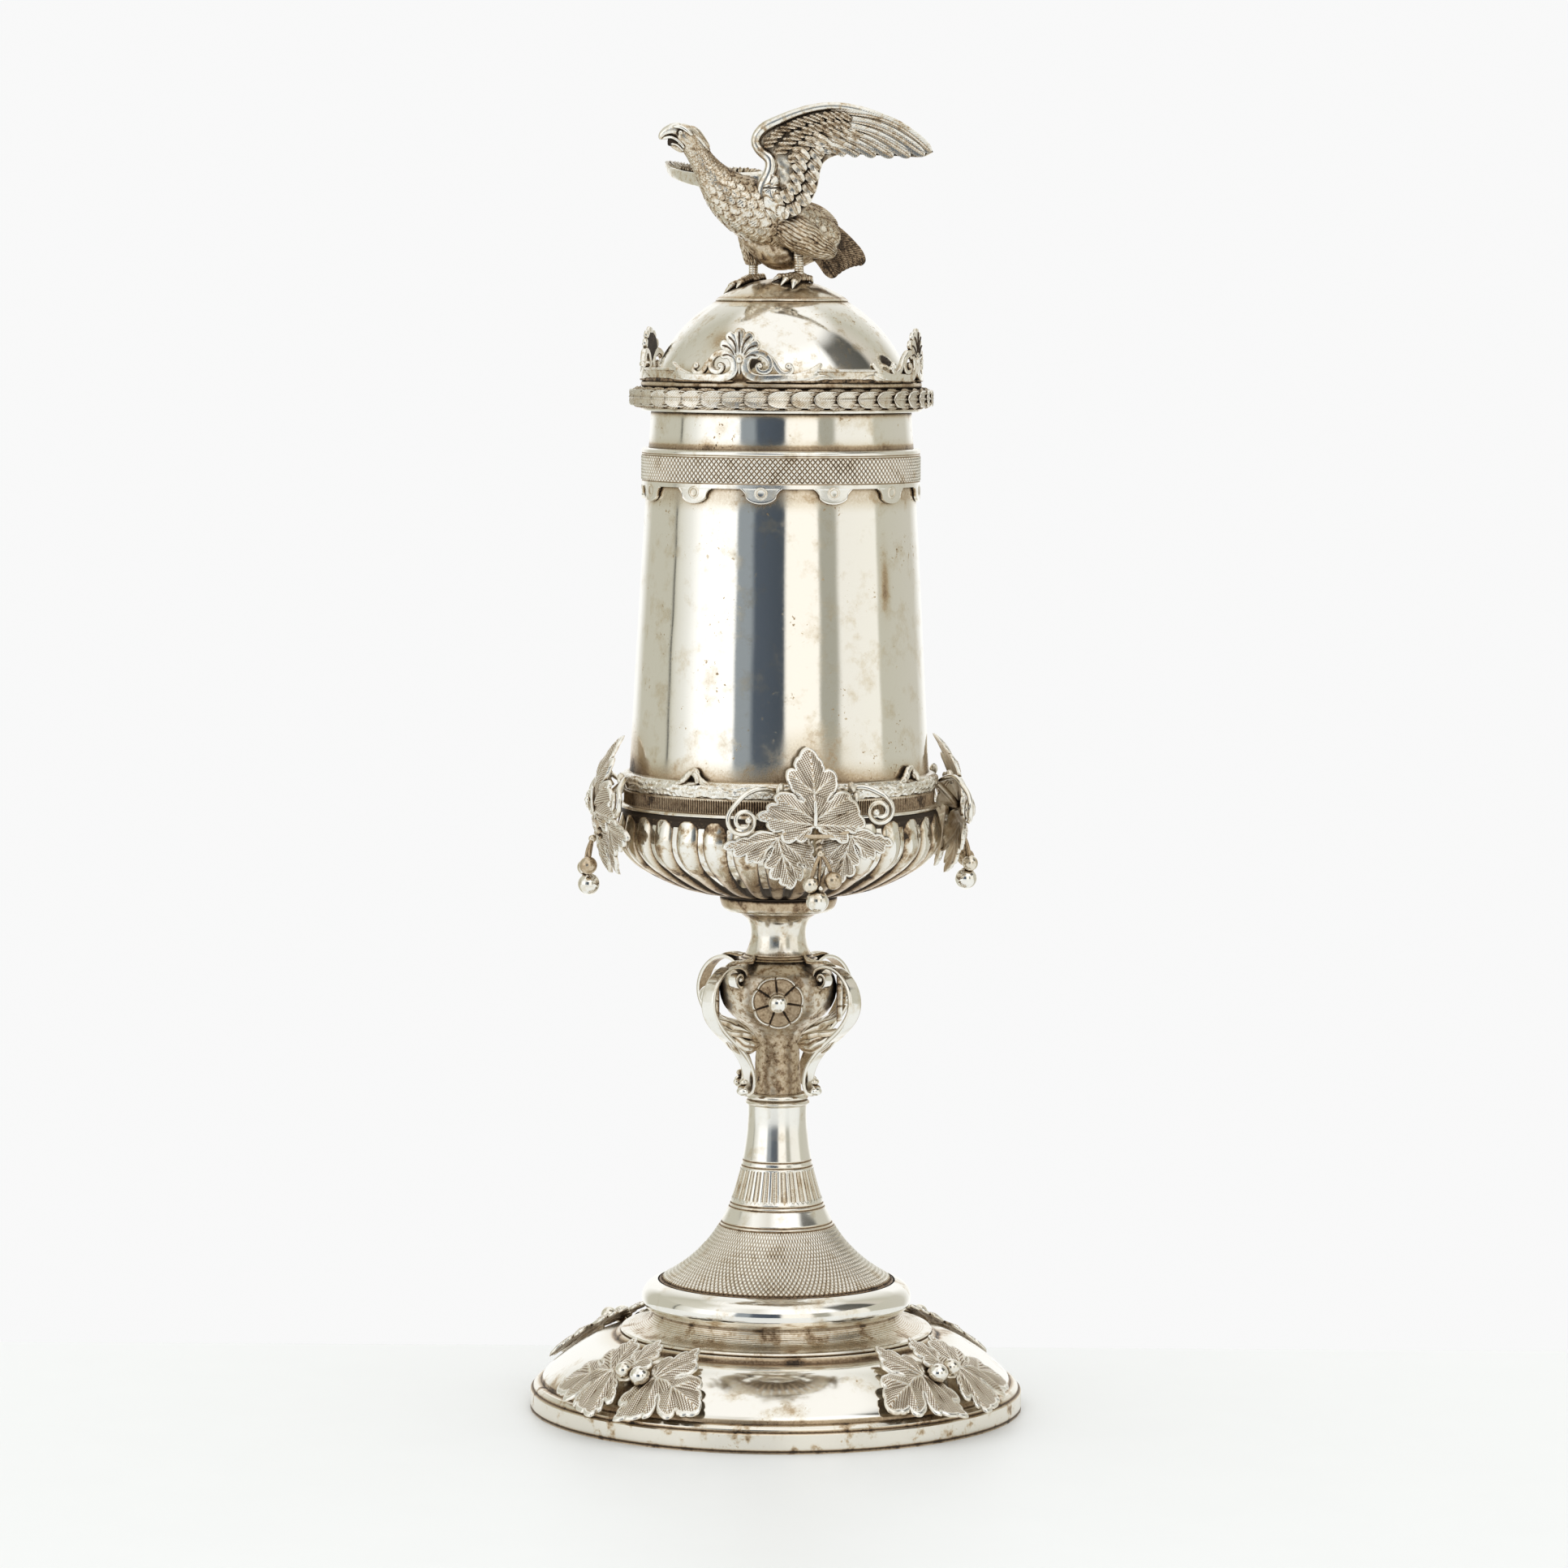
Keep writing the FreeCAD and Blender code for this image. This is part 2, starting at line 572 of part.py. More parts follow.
def eagle_body():
    """Head, neck, trunk, tail, legs and feet of the eagle, one casting."""
    trunk = lofted([
        ((-32.6, -11.6, 393.2), (-1, 0, 0.0), 1.9),
        ((-29.4, -11.5, 392.2), (-1, 0, 0.35), 3.5),
        ((-25.6, -11.0, 388.2), (-1, 0.1, 1.2), 3.7),
        ((-21.6, -10.0, 382.4), (-1, 0.2, 1.3), 4.6),
        ((-16.2, -8.2, 376.2), (-1, 0.4, 0.9), 7.2),
        ((-8.6, -4.8, 370.6), (-1, 0.5, 0.5), 9.6),
        ((0.8, -0.2, 366.2), (-1, 0.5, 0.35), 9.8),
        ((9.4, 4.0, 363.6), (-1, 0.5, 0.3), 7.2),
        ((15.4, 6.8, 362.0), (-1, 0.5, 0.3), 3.6),
    ])
    beak = lofted([((-32.4, -11.6, 393.2), (-1, 0, 0.0), 1.8), ((-37.2, -11.6, 392.4), (-1, 0, -0.5), 0.4)])
    tail = Part.makeLoft([
        Part.makePolygon([Vector(10, 1.5, 361), Vector(12, 8.5, 361), Vector(12, 8.5, 365),
                          Vector(10, 1.5, 365), Vector(10, 1.5, 361)]),
        Part.makePolygon([Vector(21, 3.5, 353.2), Vector(25, 18.5, 353.6), Vector(25, 18.5, 356.2),
                          Vector(21, 3.5, 355.8), Vector(21, 3.5, 353.2)]),
    ], True, True)
    parts = [beak, tail]
    for (x, y), height, hip in ((PIN_PLACES[0], 364.0, (4.0, -4.4)), (PIN_PLACES[1], 364.0, (-6.0, 1.6))):
        sole = cap_surface_z(x, y)
        parts.append(rod((x, y, sole - 0.4), (hip[0], hip[1], height), TARSUS_R))
        parts.append(ball(3.6, hip[0], hip[1], 359.8))
        for spread in (-38, -5, 28, 160):
            reach = 4.2 if spread == 160 else 6.0
            angle = math.radians(198 + spread)
            tx = x + reach * math.cos(angle)
            ty = y + reach * math.sin(angle)
            parts.append(rod((x, y, sole + 0.7), (tx, ty, cap_surface_z(tx, ty) + 0.5), 0.85))
    whole = joined(trunk, *parts)
    return whole.cut(cap_blank())


def winged(outline, start, thickness):
    """Wing plate: a closed outline of (x, z) points at a depth that changes along the span."""
    base = [Vector(x, start, z) for x, z in outline]
    curve = Part.BSplineCurve()
    curve.interpolate(base, PeriodicFlag=True)
    return Part.Face(Part.Wire(curve.toShape())).extrude(Vector(0, thickness, 0))


def eagle_left_wing():
    """Raised wing on the side towards the front."""
    outline = [(2.0, 370.0), (-4.0, 378.0), (-7.0, 388.0), (-5.6, 394.2), (4.0, 399.6), (17.5, 402.4), (34.0, 398.0),
               (46.6, 388.6), (42.0, 387.0), (22.0, 388.0), (13.2, 384.6), (11.2, 376.0), (8.0, 370.4)]
    wing = winged(outline, -13.0, 2.0)
    wing.rotate(Vector(0, -9, 380), Z_AXIS, -12)
    return without(joined(wing, rod((2, -14.0, 373), (2, -8.0, 372), 2.2)), eagle_body())


def eagle_right_wing():
    """Lower wing on the far side, spread away from the front."""
    outline = [(0.0, -7.5), (14.0, -9.5), (30.0, -8.0), (41.0, -4.2), (42.6, 0.0), (36.0, 3.0), (20.0, 5.6), (6.0, 7.0),
               (0.0, 6.0)]
    base = [Vector(x, y, 0) for x, y in outline]
    curve = Part.BSplineCurve()
    curve.interpolate(base, PeriodicFlag=True)
    wing = Part.Face(Part.Wire(curve.toShape())).extrude(Vector(0, 0, 2.0))
    wing.rotate(CENTRE, Vector(0, 1, 0), -8)
    wing.rotate(CENTRE, Z_AXIS, 124)
    wing.translate(Vector(-7.0, 1.0, 375.6))
    return wing.cut(eagle_body())


def finial_pins():
    """Threaded pins under the eagle's feet that go through the cap plate and the lid."""
    pins = []
    for x, y in PIN_PLACES:
        pins.append(disc(PIN_R, 342.8, cap_surface_z(x, y) + 1.2, (x, y)))
    return Part.makeCompound(pins)


def finial_nuts():
    nuts = []
    for x, y in PIN_PLACES:
        outer = math.hypot(x, y) + 2.4
        high = LID_CENTRE_Z + math.sqrt((LID_R - CUP_SHEET) ** 2 - outer ** 2) - 0.05
        nuts.append(hexagon(4.0, high - 1.6, high, (x, y)).cut(disc(PIN_R, 330, 360, (x, y))))
    return Part.makeCompound(nuts)


# ---- the whole cup -----------------------------------------------------------------------

def all_parts():
    parts = {
        "base_band": base_band(),
        "foot_dome": foot_dome(),
        "foot_scotia": foot_scotia(),
        "foot_torus": foot_torus(),
        "trumpet_stem": trumpet_stem(),
        "stem_ring": stem_ring(),
        "knop_urn": knop_urn(),
        "stem_neck": stem_neck(),
        "stem_saucer": stem_saucer(),
        "seat_plate": seat_plate(),
        "rosette_studs": rosette_studs(),
        "gadroon_bowl": gadroon_bowl(),
        "cup_wall": cup_wall(),
        "reeded_band": reeded_band(),
        "vine_branch_ring": vine_branch_ring(),
        "engine_turned_collar": engine_turned_collar(),
        "vine_tendrils": vine_tendrils(),
        "foot_berries": foot_berries(),
        "tie_rod": tie_rod(),
        "rod_cap_nut": rod_cap_nut(),
        "tie_washer": tie_washer(),
        "tie_nut": tie_nut(),
        "lid_dome": lid_dome(),
        "cap_plate": cap_plate(),
        "lid_flange": lid_flange(),
        "lid_bezel": lid_bezel(),
        "lid_wreath": lid_wreath(),
        "rim_wire": rim_wire(),
        "crown_gallery": crown_gallery(),
        "eagle_body": eagle_body(),
        "eagle_left_wing": eagle_left_wing(),
        "eagle_right_wing": eagle_right_wing(),
        "finial_pins": finial_pins(),
        "finial_nuts": finial_nuts(),
    }
    for k, side in enumerate(SIDES):
        parts["rosette_" + side] = rosette(90 * k)
        parts["scroll_bracket_" + side] = scroll_bracket(BRACKET_OFFSET + 90 * k)
        parts["palmette_" + side] = palmette(PALMETTE_OFFSET + 90 * k)
        parts["vine_leaves_" + side] = vine_leaves(CLUSTER_OFFSET + 90 * k)
        parts["vine_berries_" + side] = vine_berries(CLUSTER_OFFSET + 90 * k)
        parts["foot_leaves_" + side] = foot_leaves(FOOT_VINE_OFFSET + 90 * k)
    return parts


os.makedirs("parts", exist_ok=True)
for name, shape in all_parts().items():
    solids = shape.Solids
    if not solids or not all(s.isValid() and s.isClosed() and s.Volume > 0 for s in solids):
        raise SystemExit(f"{name} is not made of closed solids")
    print(f"{name:24s} {len(solids):2d} solids {shape.Volume:10.1f} mm3")
    body = solids[0] if len(solids) == 1 else Part.makeCompound(solids)
    body.exportStep(f"parts/{name}.step")
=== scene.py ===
"""Looks of a tall covered silver cup: turned shells, engine turning, vine mounts, crown and eagle."""
import math

import bpy
import numpy as np
from mathutils import Matrix, Vector


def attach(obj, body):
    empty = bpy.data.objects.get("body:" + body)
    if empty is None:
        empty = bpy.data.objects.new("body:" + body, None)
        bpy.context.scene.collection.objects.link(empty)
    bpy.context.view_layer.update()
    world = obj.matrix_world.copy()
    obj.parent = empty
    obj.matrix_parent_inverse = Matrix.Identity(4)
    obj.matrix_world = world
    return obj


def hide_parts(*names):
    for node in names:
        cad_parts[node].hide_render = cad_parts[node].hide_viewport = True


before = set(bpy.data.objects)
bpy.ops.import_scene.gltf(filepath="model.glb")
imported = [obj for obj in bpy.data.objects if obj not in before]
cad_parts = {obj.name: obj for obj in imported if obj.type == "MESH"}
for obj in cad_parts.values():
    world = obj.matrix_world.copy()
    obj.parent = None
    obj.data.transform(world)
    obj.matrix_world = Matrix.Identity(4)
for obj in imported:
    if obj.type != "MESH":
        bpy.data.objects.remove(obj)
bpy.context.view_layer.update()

MM = 0.001
TAU = 2 * math.pi
FRONT = (0, -1, 0)
SIDES = ("front", "right", "back", "left")

# ---- sizes, in millimetres and degrees, as in the CAD model --------------------------------

FOOT_R = 76.5
LEDGE_Z = 8.3
DOME_TOP_Z = 24.0
SCOTIA_TOP_Z = 30.8
TORUS_TOP_Z = 39.9
STEM_TOP_Z = 94.8
RING_TOP_Z = 98.6
KNOP_TOP_Z = 140.4
NECK_TOP_Z = 155.0
SAUCER_TOP_Z = 160.0
BOWL_Z = 160.6
BOWL_TOP_Z = 187.8
REED_TOP_Z = 193.6
BRANCH_TOP_Z = 198.8
RIM_Z = 309.6
FLANGE_TOP_Z = 311.0
WREATH_TOP_Z = 316.6
CAP_TOP_Z = 350.2
CAP_R = 20.2
CAP_BALL_R = 35.08
SHEET = 1.2
CUP_SHEET = 1.0
FIT = 0.05
MOUTH_R = 40.05
CONE_FOOT_R = 46.75
COLLAR_R = 42.85
LID_R = 41.0
LID_CENTRE_Z = 307.5
GALLERY_R = 42.6
ROD_HOLE_R = 2.3
TAB_COUNT = 12
TAB_OFFSET = -8.0
CLUSTER_OFFSET = 12.0
BRACKET_OFFSET = 48.0
FOOT_VINE_OFFSET = 49.5
PALMETTE_OFFSET = -17.0
GADROONS = 32
NO_TRIS = np.zeros((0, 3), int)


# ---- mesh tools ---------------------------------------------------------------------------
# A shape is (points in mm, quads, triangles, marks). Marks are the dirt at each point, from 0 to 1, or
# the dirt and three hatch numbers: turns across the beaded rows, turns along them, and how strongly
# they show. On a few pieces the marks also hold painted shade and painted reflection.

def smooth(points, step=0.5, count=None):
    """Points along a natural cubic spline through the given ones, about a step apart."""
    points = np.array(points, float)
    knots = np.concatenate([[0], np.cumsum(np.linalg.norm(np.diff(points, axis=0), axis=1))])
    n = len(knots)
    h = np.diff(knots)
    left = np.eye(n)
    right = np.zeros(points.shape)
    for i in range(1, n - 1):
        left[i, i - 1:i + 2] = h[i - 1], 2 * (h[i - 1] + h[i]), h[i]
        right[i] = 6 * ((points[i + 1] - points[i]) / h[i] - (points[i] - points[i - 1]) / h[i - 1])
    bend = np.linalg.solve(left, right)
    s = np.linspace(0, knots[-1], count or max(2, round(knots[-1] / step) + 1))
    k = np.clip(np.searchsorted(knots, s, side="right") - 1, 0, n - 2)
    u = (s - knots[k])[:, None]
    w = (knots[k + 1] - s)[:, None]
    gap = h[k][:, None]
    cubic = (bend[k] * w ** 3 + bend[k + 1] * u ** 3) / (6 * gap)
    before, after = (points[i] / gap - bend[i] * gap / 6 for i in (k, k + 1))
    return cubic + before * w + after * u


def cornered(points, step=0.6):
    """Points along straight runs, with extra ones close to each corner so that it shades crisply."""
    points = np.array(points, float)
    out = [points[0]]
    for a, b in zip(points, points[1:]):
        length = np.linalg.norm(b - a)
        near = min(0.12, length / 4) / length
        for t in np.linspace(near, 1 - near, max(2, round(length / step))):
            out.append(a + (b - a) * t)
        out.append(b)
    return np.array(out)


def grid(points, wrap_rows=False, wrap_columns=False, dirt=0.0, flip=False):
    """A sheet of quads over rows and columns of points. Dirt may carry three hatch numbers after it."""
    rows, columns = points.shape[:2]
    index = np.arange(rows * columns).reshape(rows, columns)
    if wrap_rows:
        index = np.vstack([index, index[:1]])
    if wrap_columns:
        index = np.hstack([index, index[:, :1]])
    quads = np.stack([index[:-1, :-1], index[:-1, 1:], index[1:, 1:], index[1:, :-1]], -1).reshape(-1, 4)
    if flip:
        quads = quads[:, ::-1]
    marks = dirt.reshape(-1, 4) if np.ndim(dirt) == 3 else np.broadcast_to(dirt, (rows, columns)).ravel()
    return points.reshape(-1, 3), quads, NO_TRIS, marks


def merged(*shapes):
    """One shape made of several."""
    start = 0
    quads, tris = [], []
    for shape in shapes:
        quads.append(shape[1] + start)
        tris.append(shape[2] + start)
        start += len(shape[0])
    marks = [s[3] for s in shapes]
    if any(m.ndim == 2 for m in marks):
        marks = [m if m.ndim == 2 else np.column_stack([m, np.zeros((len(m), 3))]) for m in marks]
    return np.vstack([s[0] for s in shapes]), np.vstack(quads), np.vstack(tris), np.concatenate(marks)


def changed(shape, change):
    """The shape with its points put through a function."""
    return (change(shape[0]),) + shape[1:]


def from_nearest(azimuth, offset, count):
    """Degrees from the nearest of so many places spaced evenly round the axis."""
    span = 360 / count
    return (azimuth - offset + span / 2) % span - span / 2


def spin_matrix(azimuth):
    """Turns a place at the front (-Y) to an azimuth, counted towards +X."""
    a = math.radians(azimuth)
    return np.array([[math.cos(a), -math.sin(a), 0], [math.sin(a), math.cos(a), 0], [0, 0, 1]])


def about_z(shape, azimuth):
    return changed(shape, lambda p: p @ spin_matrix(azimuth).T)


def rotation(axis, degrees):
    return np.array(Matrix.Rotation(math.radians(degrees), 3, Vector(axis)))


def turned(shape, axis, degrees, centre=(0, 0, 0)):
    turn = rotation(axis, degrees)
    return changed(shape, lambda p: (p - centre) @ turn.T + centre)


def mirrored(shape):
    """The shape with left and right exchanged."""
    points, quads, tris, marks = shape
    return points * np.array([-1.0, 1, 1]), quads[:, ::-1], tris[:, ::-1], marks


def shifted(shape, by):
    return changed(shape, lambda p: p + np.array(by, float))


def unit(v):
    return v / np.maximum(np.linalg.norm(v, axis=-1, keepdims=True), 1e-9)


def ramp(x, low, high):
    """0 below low, 1 above high, smooth between."""
    t = np.clip((x - low) / (high - low), 0, 1)
    return t * t * (3 - 2 * t)


def bell(x, at, width):
    """1 at a place, falling off smoothly over a width to both sides."""
    return np.exp(-((x - at) / width) ** 2)


def ripple(points, length, seed):
    """Gentle unevenness from -1 to 1 that changes over about a length, in mm."""
    rng = np.random.default_rng(seed)
    total = 0
    for _ in range(7):
        wave = unit(rng.normal(size=3)) * TAU / (length * rng.uniform(0.6, 1.6))
        total = total + np.sin(points @ wave + rng.uniform(0, TAU))
    return total / 4


def revolved(outside, inside=(), columns=256, relief=None, wobble=0.0, seed=0, dirt=0.0):
    """A turned shell. Relief gives (height, marks of dirt and painted shade) for (r, z, azimuth in degrees,
    run along the outside).
    """
    outside = np.array(outside, float)
    loop = np.vstack([outside, np.array(inside, float).reshape(-1, 2)])
    slope = np.roll(loop, -1, axis=0) - np.roll(loop, 1, axis=0)
    if not len(inside):
        slope[0] = loop[1] - loop[0]
        slope[-1] = loop[-1] - loop[-2]
    normal = unit(np.stack([slope[:, 1], -slope[:, 0]], 1))
    azimuth = np.linspace(0, 360, columns, endpoint=False)[None, :]
    r = np.repeat(loop[:, :1], columns, 1)
    z = np.repeat(loop[:, 1:], columns, 1)
    grime = np.full(r.shape, float(dirt))
    if relief:
        n = len(outside)
        run = np.concatenate([[0], np.cumsum(np.linalg.norm(np.diff(outside, axis=0), axis=1))])[:, None]
        height, marks = relief(r[:n], z[:n], azimuth, run)
        r[:n] += normal[:n, :1] * height
        z[:n] += normal[:n, 1:] * height
        grime[:n] = np.clip(grime[:n] + marks, 0, 1)
    a = np.radians(azimuth)
    points = around(r, a, z)
    if wobble:
        points = points + wobble * ripple(points, 22, seed)[..., None] * around(1, a, 0)
    return grid(points, wrap_rows=bool(len(inside)), wrap_columns=True, dirt=grime)


def circle(sides):
    a = np.linspace(0, TAU, sides, endpoint=False)
    return np.stack([np.cos(a), np.sin(a)], 1)


def swept(path, section, across, through=None, up=(0, 0, 1), dirt=0.0):
    """A closed bar along a path: the section's first side lies across it, its second along up."""
    path = np.array(path, float)
    n = len(path)
    through = across if through is None else through
    across, through = (size[:, :, None] if np.ndim(size) == 2 else np.broadcast_to(size, n)[:, None, None]
        for size in (across, through))
    forward = unit(np.gradient(path, axis=0))
    side = unit(np.cross(forward, np.broadcast_to(up, (n, 3))))
    lift = np.cross(side, forward)
    points = (path[:, None] + side[:, None] * section[None, :, :1] * across
        + lift[:, None] * section[None, :, 1:] * through)
    if np.ndim(dirt) == 1:
        dirt = np.broadcast_to(dirt, (n, len(section))) if len(dirt) == len(section) else dirt[:, None]
    body = grid(points, wrap_columns=True, dirt=dirt)
    m = len(section)
    ends = np.array([path[0], path[-1]])
    first = np.arange(m)
    last = first + (n - 1) * m
    start_fan = np.stack([np.full(m, n * m), np.roll(first, -1), first], 1)
    end_fan = np.stack([np.full(m, n * m + 1), last, np.roll(last, -1)], 1)
    marks = np.concatenate([body[3], body[3][[0, -1]]])
    return np.vstack([body[0], ends]), body[1], np.vstack([start_fan, end_fan]), marks


def tapered(n, start=0.0, end=0.0, reach=0.12):
    """Scale along a bar that rounds off at its ends."""
    t = np.linspace(0, 1, n)
    head = np.sqrt(np.clip(1 - (1 - np.clip(t / reach, 0, 1)) ** 2, 0, 1))
    tail = np.sqrt(np.clip(1 - (1 - np.clip((1 - t) / reach, 0, 1)) ** 2, 0, 1))
    return (start + (1 - start) * head) * (end + (1 - end) * tail)


def wire(path, radius, sides=12, up=(0, 0, 1), start=0.0, end=0.0, reach=0.12, dirt=0.0):
    path = np.array(path, float)
    if np.ndim(radius):
        radius = np.interp(np.linspace(0, 1, len(path)), np.linspace(0, 1, len(radius)), radius)
    return swept(path, circle(sides), radius * tapered(len(path), start, end, reach), up=up, dirt=dirt)


def strand(points, step, *size, **more):
    """A wire bent smoothly through points."""
    return wire(smooth(points, step), *size, **more)


def ball(centre, radius, squash=(1, 1, 1), sides=40, dirt=0.0):
    """A round bead, slightly flattened where squash is under 1."""
    a = np.linspace(0.001, math.pi - 0.001, sides // 2 + 1)[::-1, None]
    b = np.linspace(0, TAU, sides, endpoint=False)[None, :]
    points = np.stack([np.sin(a) * np.cos(b), np.sin(a) * np.sin(b), np.cos(a) + 0 * b], -1)
    return shifted(grid(points * radius * np.array(squash, float), wrap_columns=True, dirt=dirt), centre)


def spiral(centre, inner, outer, turns, start, count=90, clockwise=False):
    """A flat (x, z) spiral that winds in from its outer end, which is at the start angle."""
    t = np.linspace(0, 1, count)
    radius = outer + (inner - outer) * t ** 0.85
    a = np.radians(start) + (-1 if clockwise else 1) * TAU * turns * t
    return np.stack([centre[0] + radius * np.cos(a), centre[1] + radius * np.sin(a)], 1)


def standing(flat, y=0.0):
    """Points of a flat (x, z) line, in space at a depth y."""
    flat = np.array(flat, float)
    return np.stack([flat[:, 0], np.full(len(flat), float(y)), flat[:, 1]], 1)


def around(r, a, z):
    """Points at a radius, an angle in radians from the front (-Y) towards +X, and a height."""
    return np.stack(np.broadcast_arrays(r * np.sin(a), -r * np.cos(a), z), -1)


def wrapped(radius):
    """Bends a flat plate (x, depth, z) at the front round the vertical axis."""
    def bend(p):
        return around(radius - p[:, 1], p[:, 0] / radius, p[:, 2])
    return bend


def piece(name, shape, node, material, sharp=None, body="cup", slot=None):
    """Puts a shape in the scene for a CAD node. Edges over sharp degrees stay crisp."""
    points, quads, tris, dirt = shape
    mesh = bpy.data.meshes.new(name)
    mesh.vertices.add(len(points))
    mesh.vertices.foreach_set("co", (points * MM).ravel())
    mesh.loops.add(quads.size + tris.size)
    mesh.loops.foreach_set("vertex_index", np.concatenate([quads.ravel(), tris.ravel()]))
    mesh.polygons.add(len(quads) + len(tris))
    starts = np.concatenate([np.arange(len(quads)) * 4, quads.size + np.arange(len(tris)) * 3])
    mesh.polygons.foreach_set("loop_start", starts)
    mesh.update(calc_edges=True)
    mesh.validate()
    mesh.shade_smooth()
    if sharp:
        mesh.set_sharp_from_angle(angle=math.radians(sharp))
    # the dirt attribute holds painted dirt and, on a few pieces, painted shade and painted reflection
    layer = mesh.attributes.new("dirt", "FLOAT", "POINT")
    layer.data.foreach_set("value", np.ascontiguousarray(dirt if dirt.ndim == 1 else dirt[:, 0], dtype=float))
    if dirt.ndim == 2:
        layer = mesh.attributes.new("hatch", "FLOAT_VECTOR", "POINT")
        layer.data.foreach_set("vector", np.ascontiguousarray(dirt[:, 1:]).ravel())
    mesh.materials.append(material)
    thing = bpy.data.objects.new(name, mesh)
    bpy.context.scene.collection.objects.link(thing)
    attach(thing, body)
    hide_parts(node)


def four(name, shape, azimuth, node, material, **more):
    """Puts the same shape on all four sides, the first one at an azimuth."""
    for k, side in enumerate(SIDES):
        piece(name + side, about_z(shape, azimuth + 90 * k), node + side, material, **more)


# ---- materials ----------------------------------------------------------------------------

class Nodes:
    """Short names for building a node tree."""

    def __init__(self, tree):
        self.tree = tree
        tree.nodes.clear()

    def add(self, kind, inputs=(), **settings):
        node = self.tree.nodes.new(kind)
        for key, value in settings.items():
            setattr(node, key, value)
        for key, value in dict(inputs).items():
            if isinstance(value, bpy.types.NodeSocket):
                self.tree.links.new(value, node.inputs[key])
            else:
                node.inputs[key].default_value = value
        return node

    def math(self, operation, a, b=0.0, c=0.5):
        return self.add("ShaderNodeMath", {0: a, 1: b, 2: c}, operation=operation).outputs[0]

    def remap(self, value, low, high, to_low=0.0, to_high=1.0):
        inputs = {"Value": value, "From Min": low, "From Max": high, "To Min": to_low, "To Max": to_high}
        return self.add("ShaderNodeMapRange", inputs, interpolation_type="SMOOTHSTEP").outputs[0]

    def noise(self, where, scale, detail=4.0, rough=0.55):
        inputs = {"Vector": where, "Scale": scale, "Detail": detail, "Roughness": rough}
        return self.add("ShaderNodeTexNoise", inputs).outputs["Fac"]

    def colours(self, value, stops):
        node = self.add("ShaderNodeValToRGB", {"Fac": value})
        elements = node.color_ramp.elements
        while len(elements) < len(stops):
            elements.new(0.5)
        for element, (place, colour) in zip(elements, sorted(stops)):
            element.position = place
            element.color = (*colour, 1)
        return node.outputs["Color"]

    def mix(self, factor, a, b):
        node = self.add("ShaderNodeMix", {"Factor": factor}, data_type="RGBA")
        for socket, value in ((node.inputs[6], a), (node.inputs[7], b)):
            if isinstance(value, bpy.types.NodeSocket):
                self.tree.links.new(value, socket)
            else:
                socket.default_value = (*value, 1)
        return node.outputs[2]

    def surface(self, inputs):
        shader = self.add("ShaderNodeBsdfPrincipled", inputs)
        self.add("ShaderNodeOutputMaterial", {"Surface": shader.outputs[0]})


def blank(name):
    """A new material, its nodes, and the place of each point in its object."""
    material = bpy.data.materials.new(name)
    material.use_nodes = True
    n = Nodes(material.node_tree)
    return material, n, n.add("ShaderNodeTexCoord").outputs["Object"]


SILVER = (0.93, 0.915, 0.865)
TARNISH = [(0.0, SILVER), (0.22, (0.81, 0.755, 0.645)), (0.45, (0.57, 0.45, 0.305)),
    (0.72, (0.27, 0.18, 0.105)), (1.0, (0.045, 0.032, 0.022))]


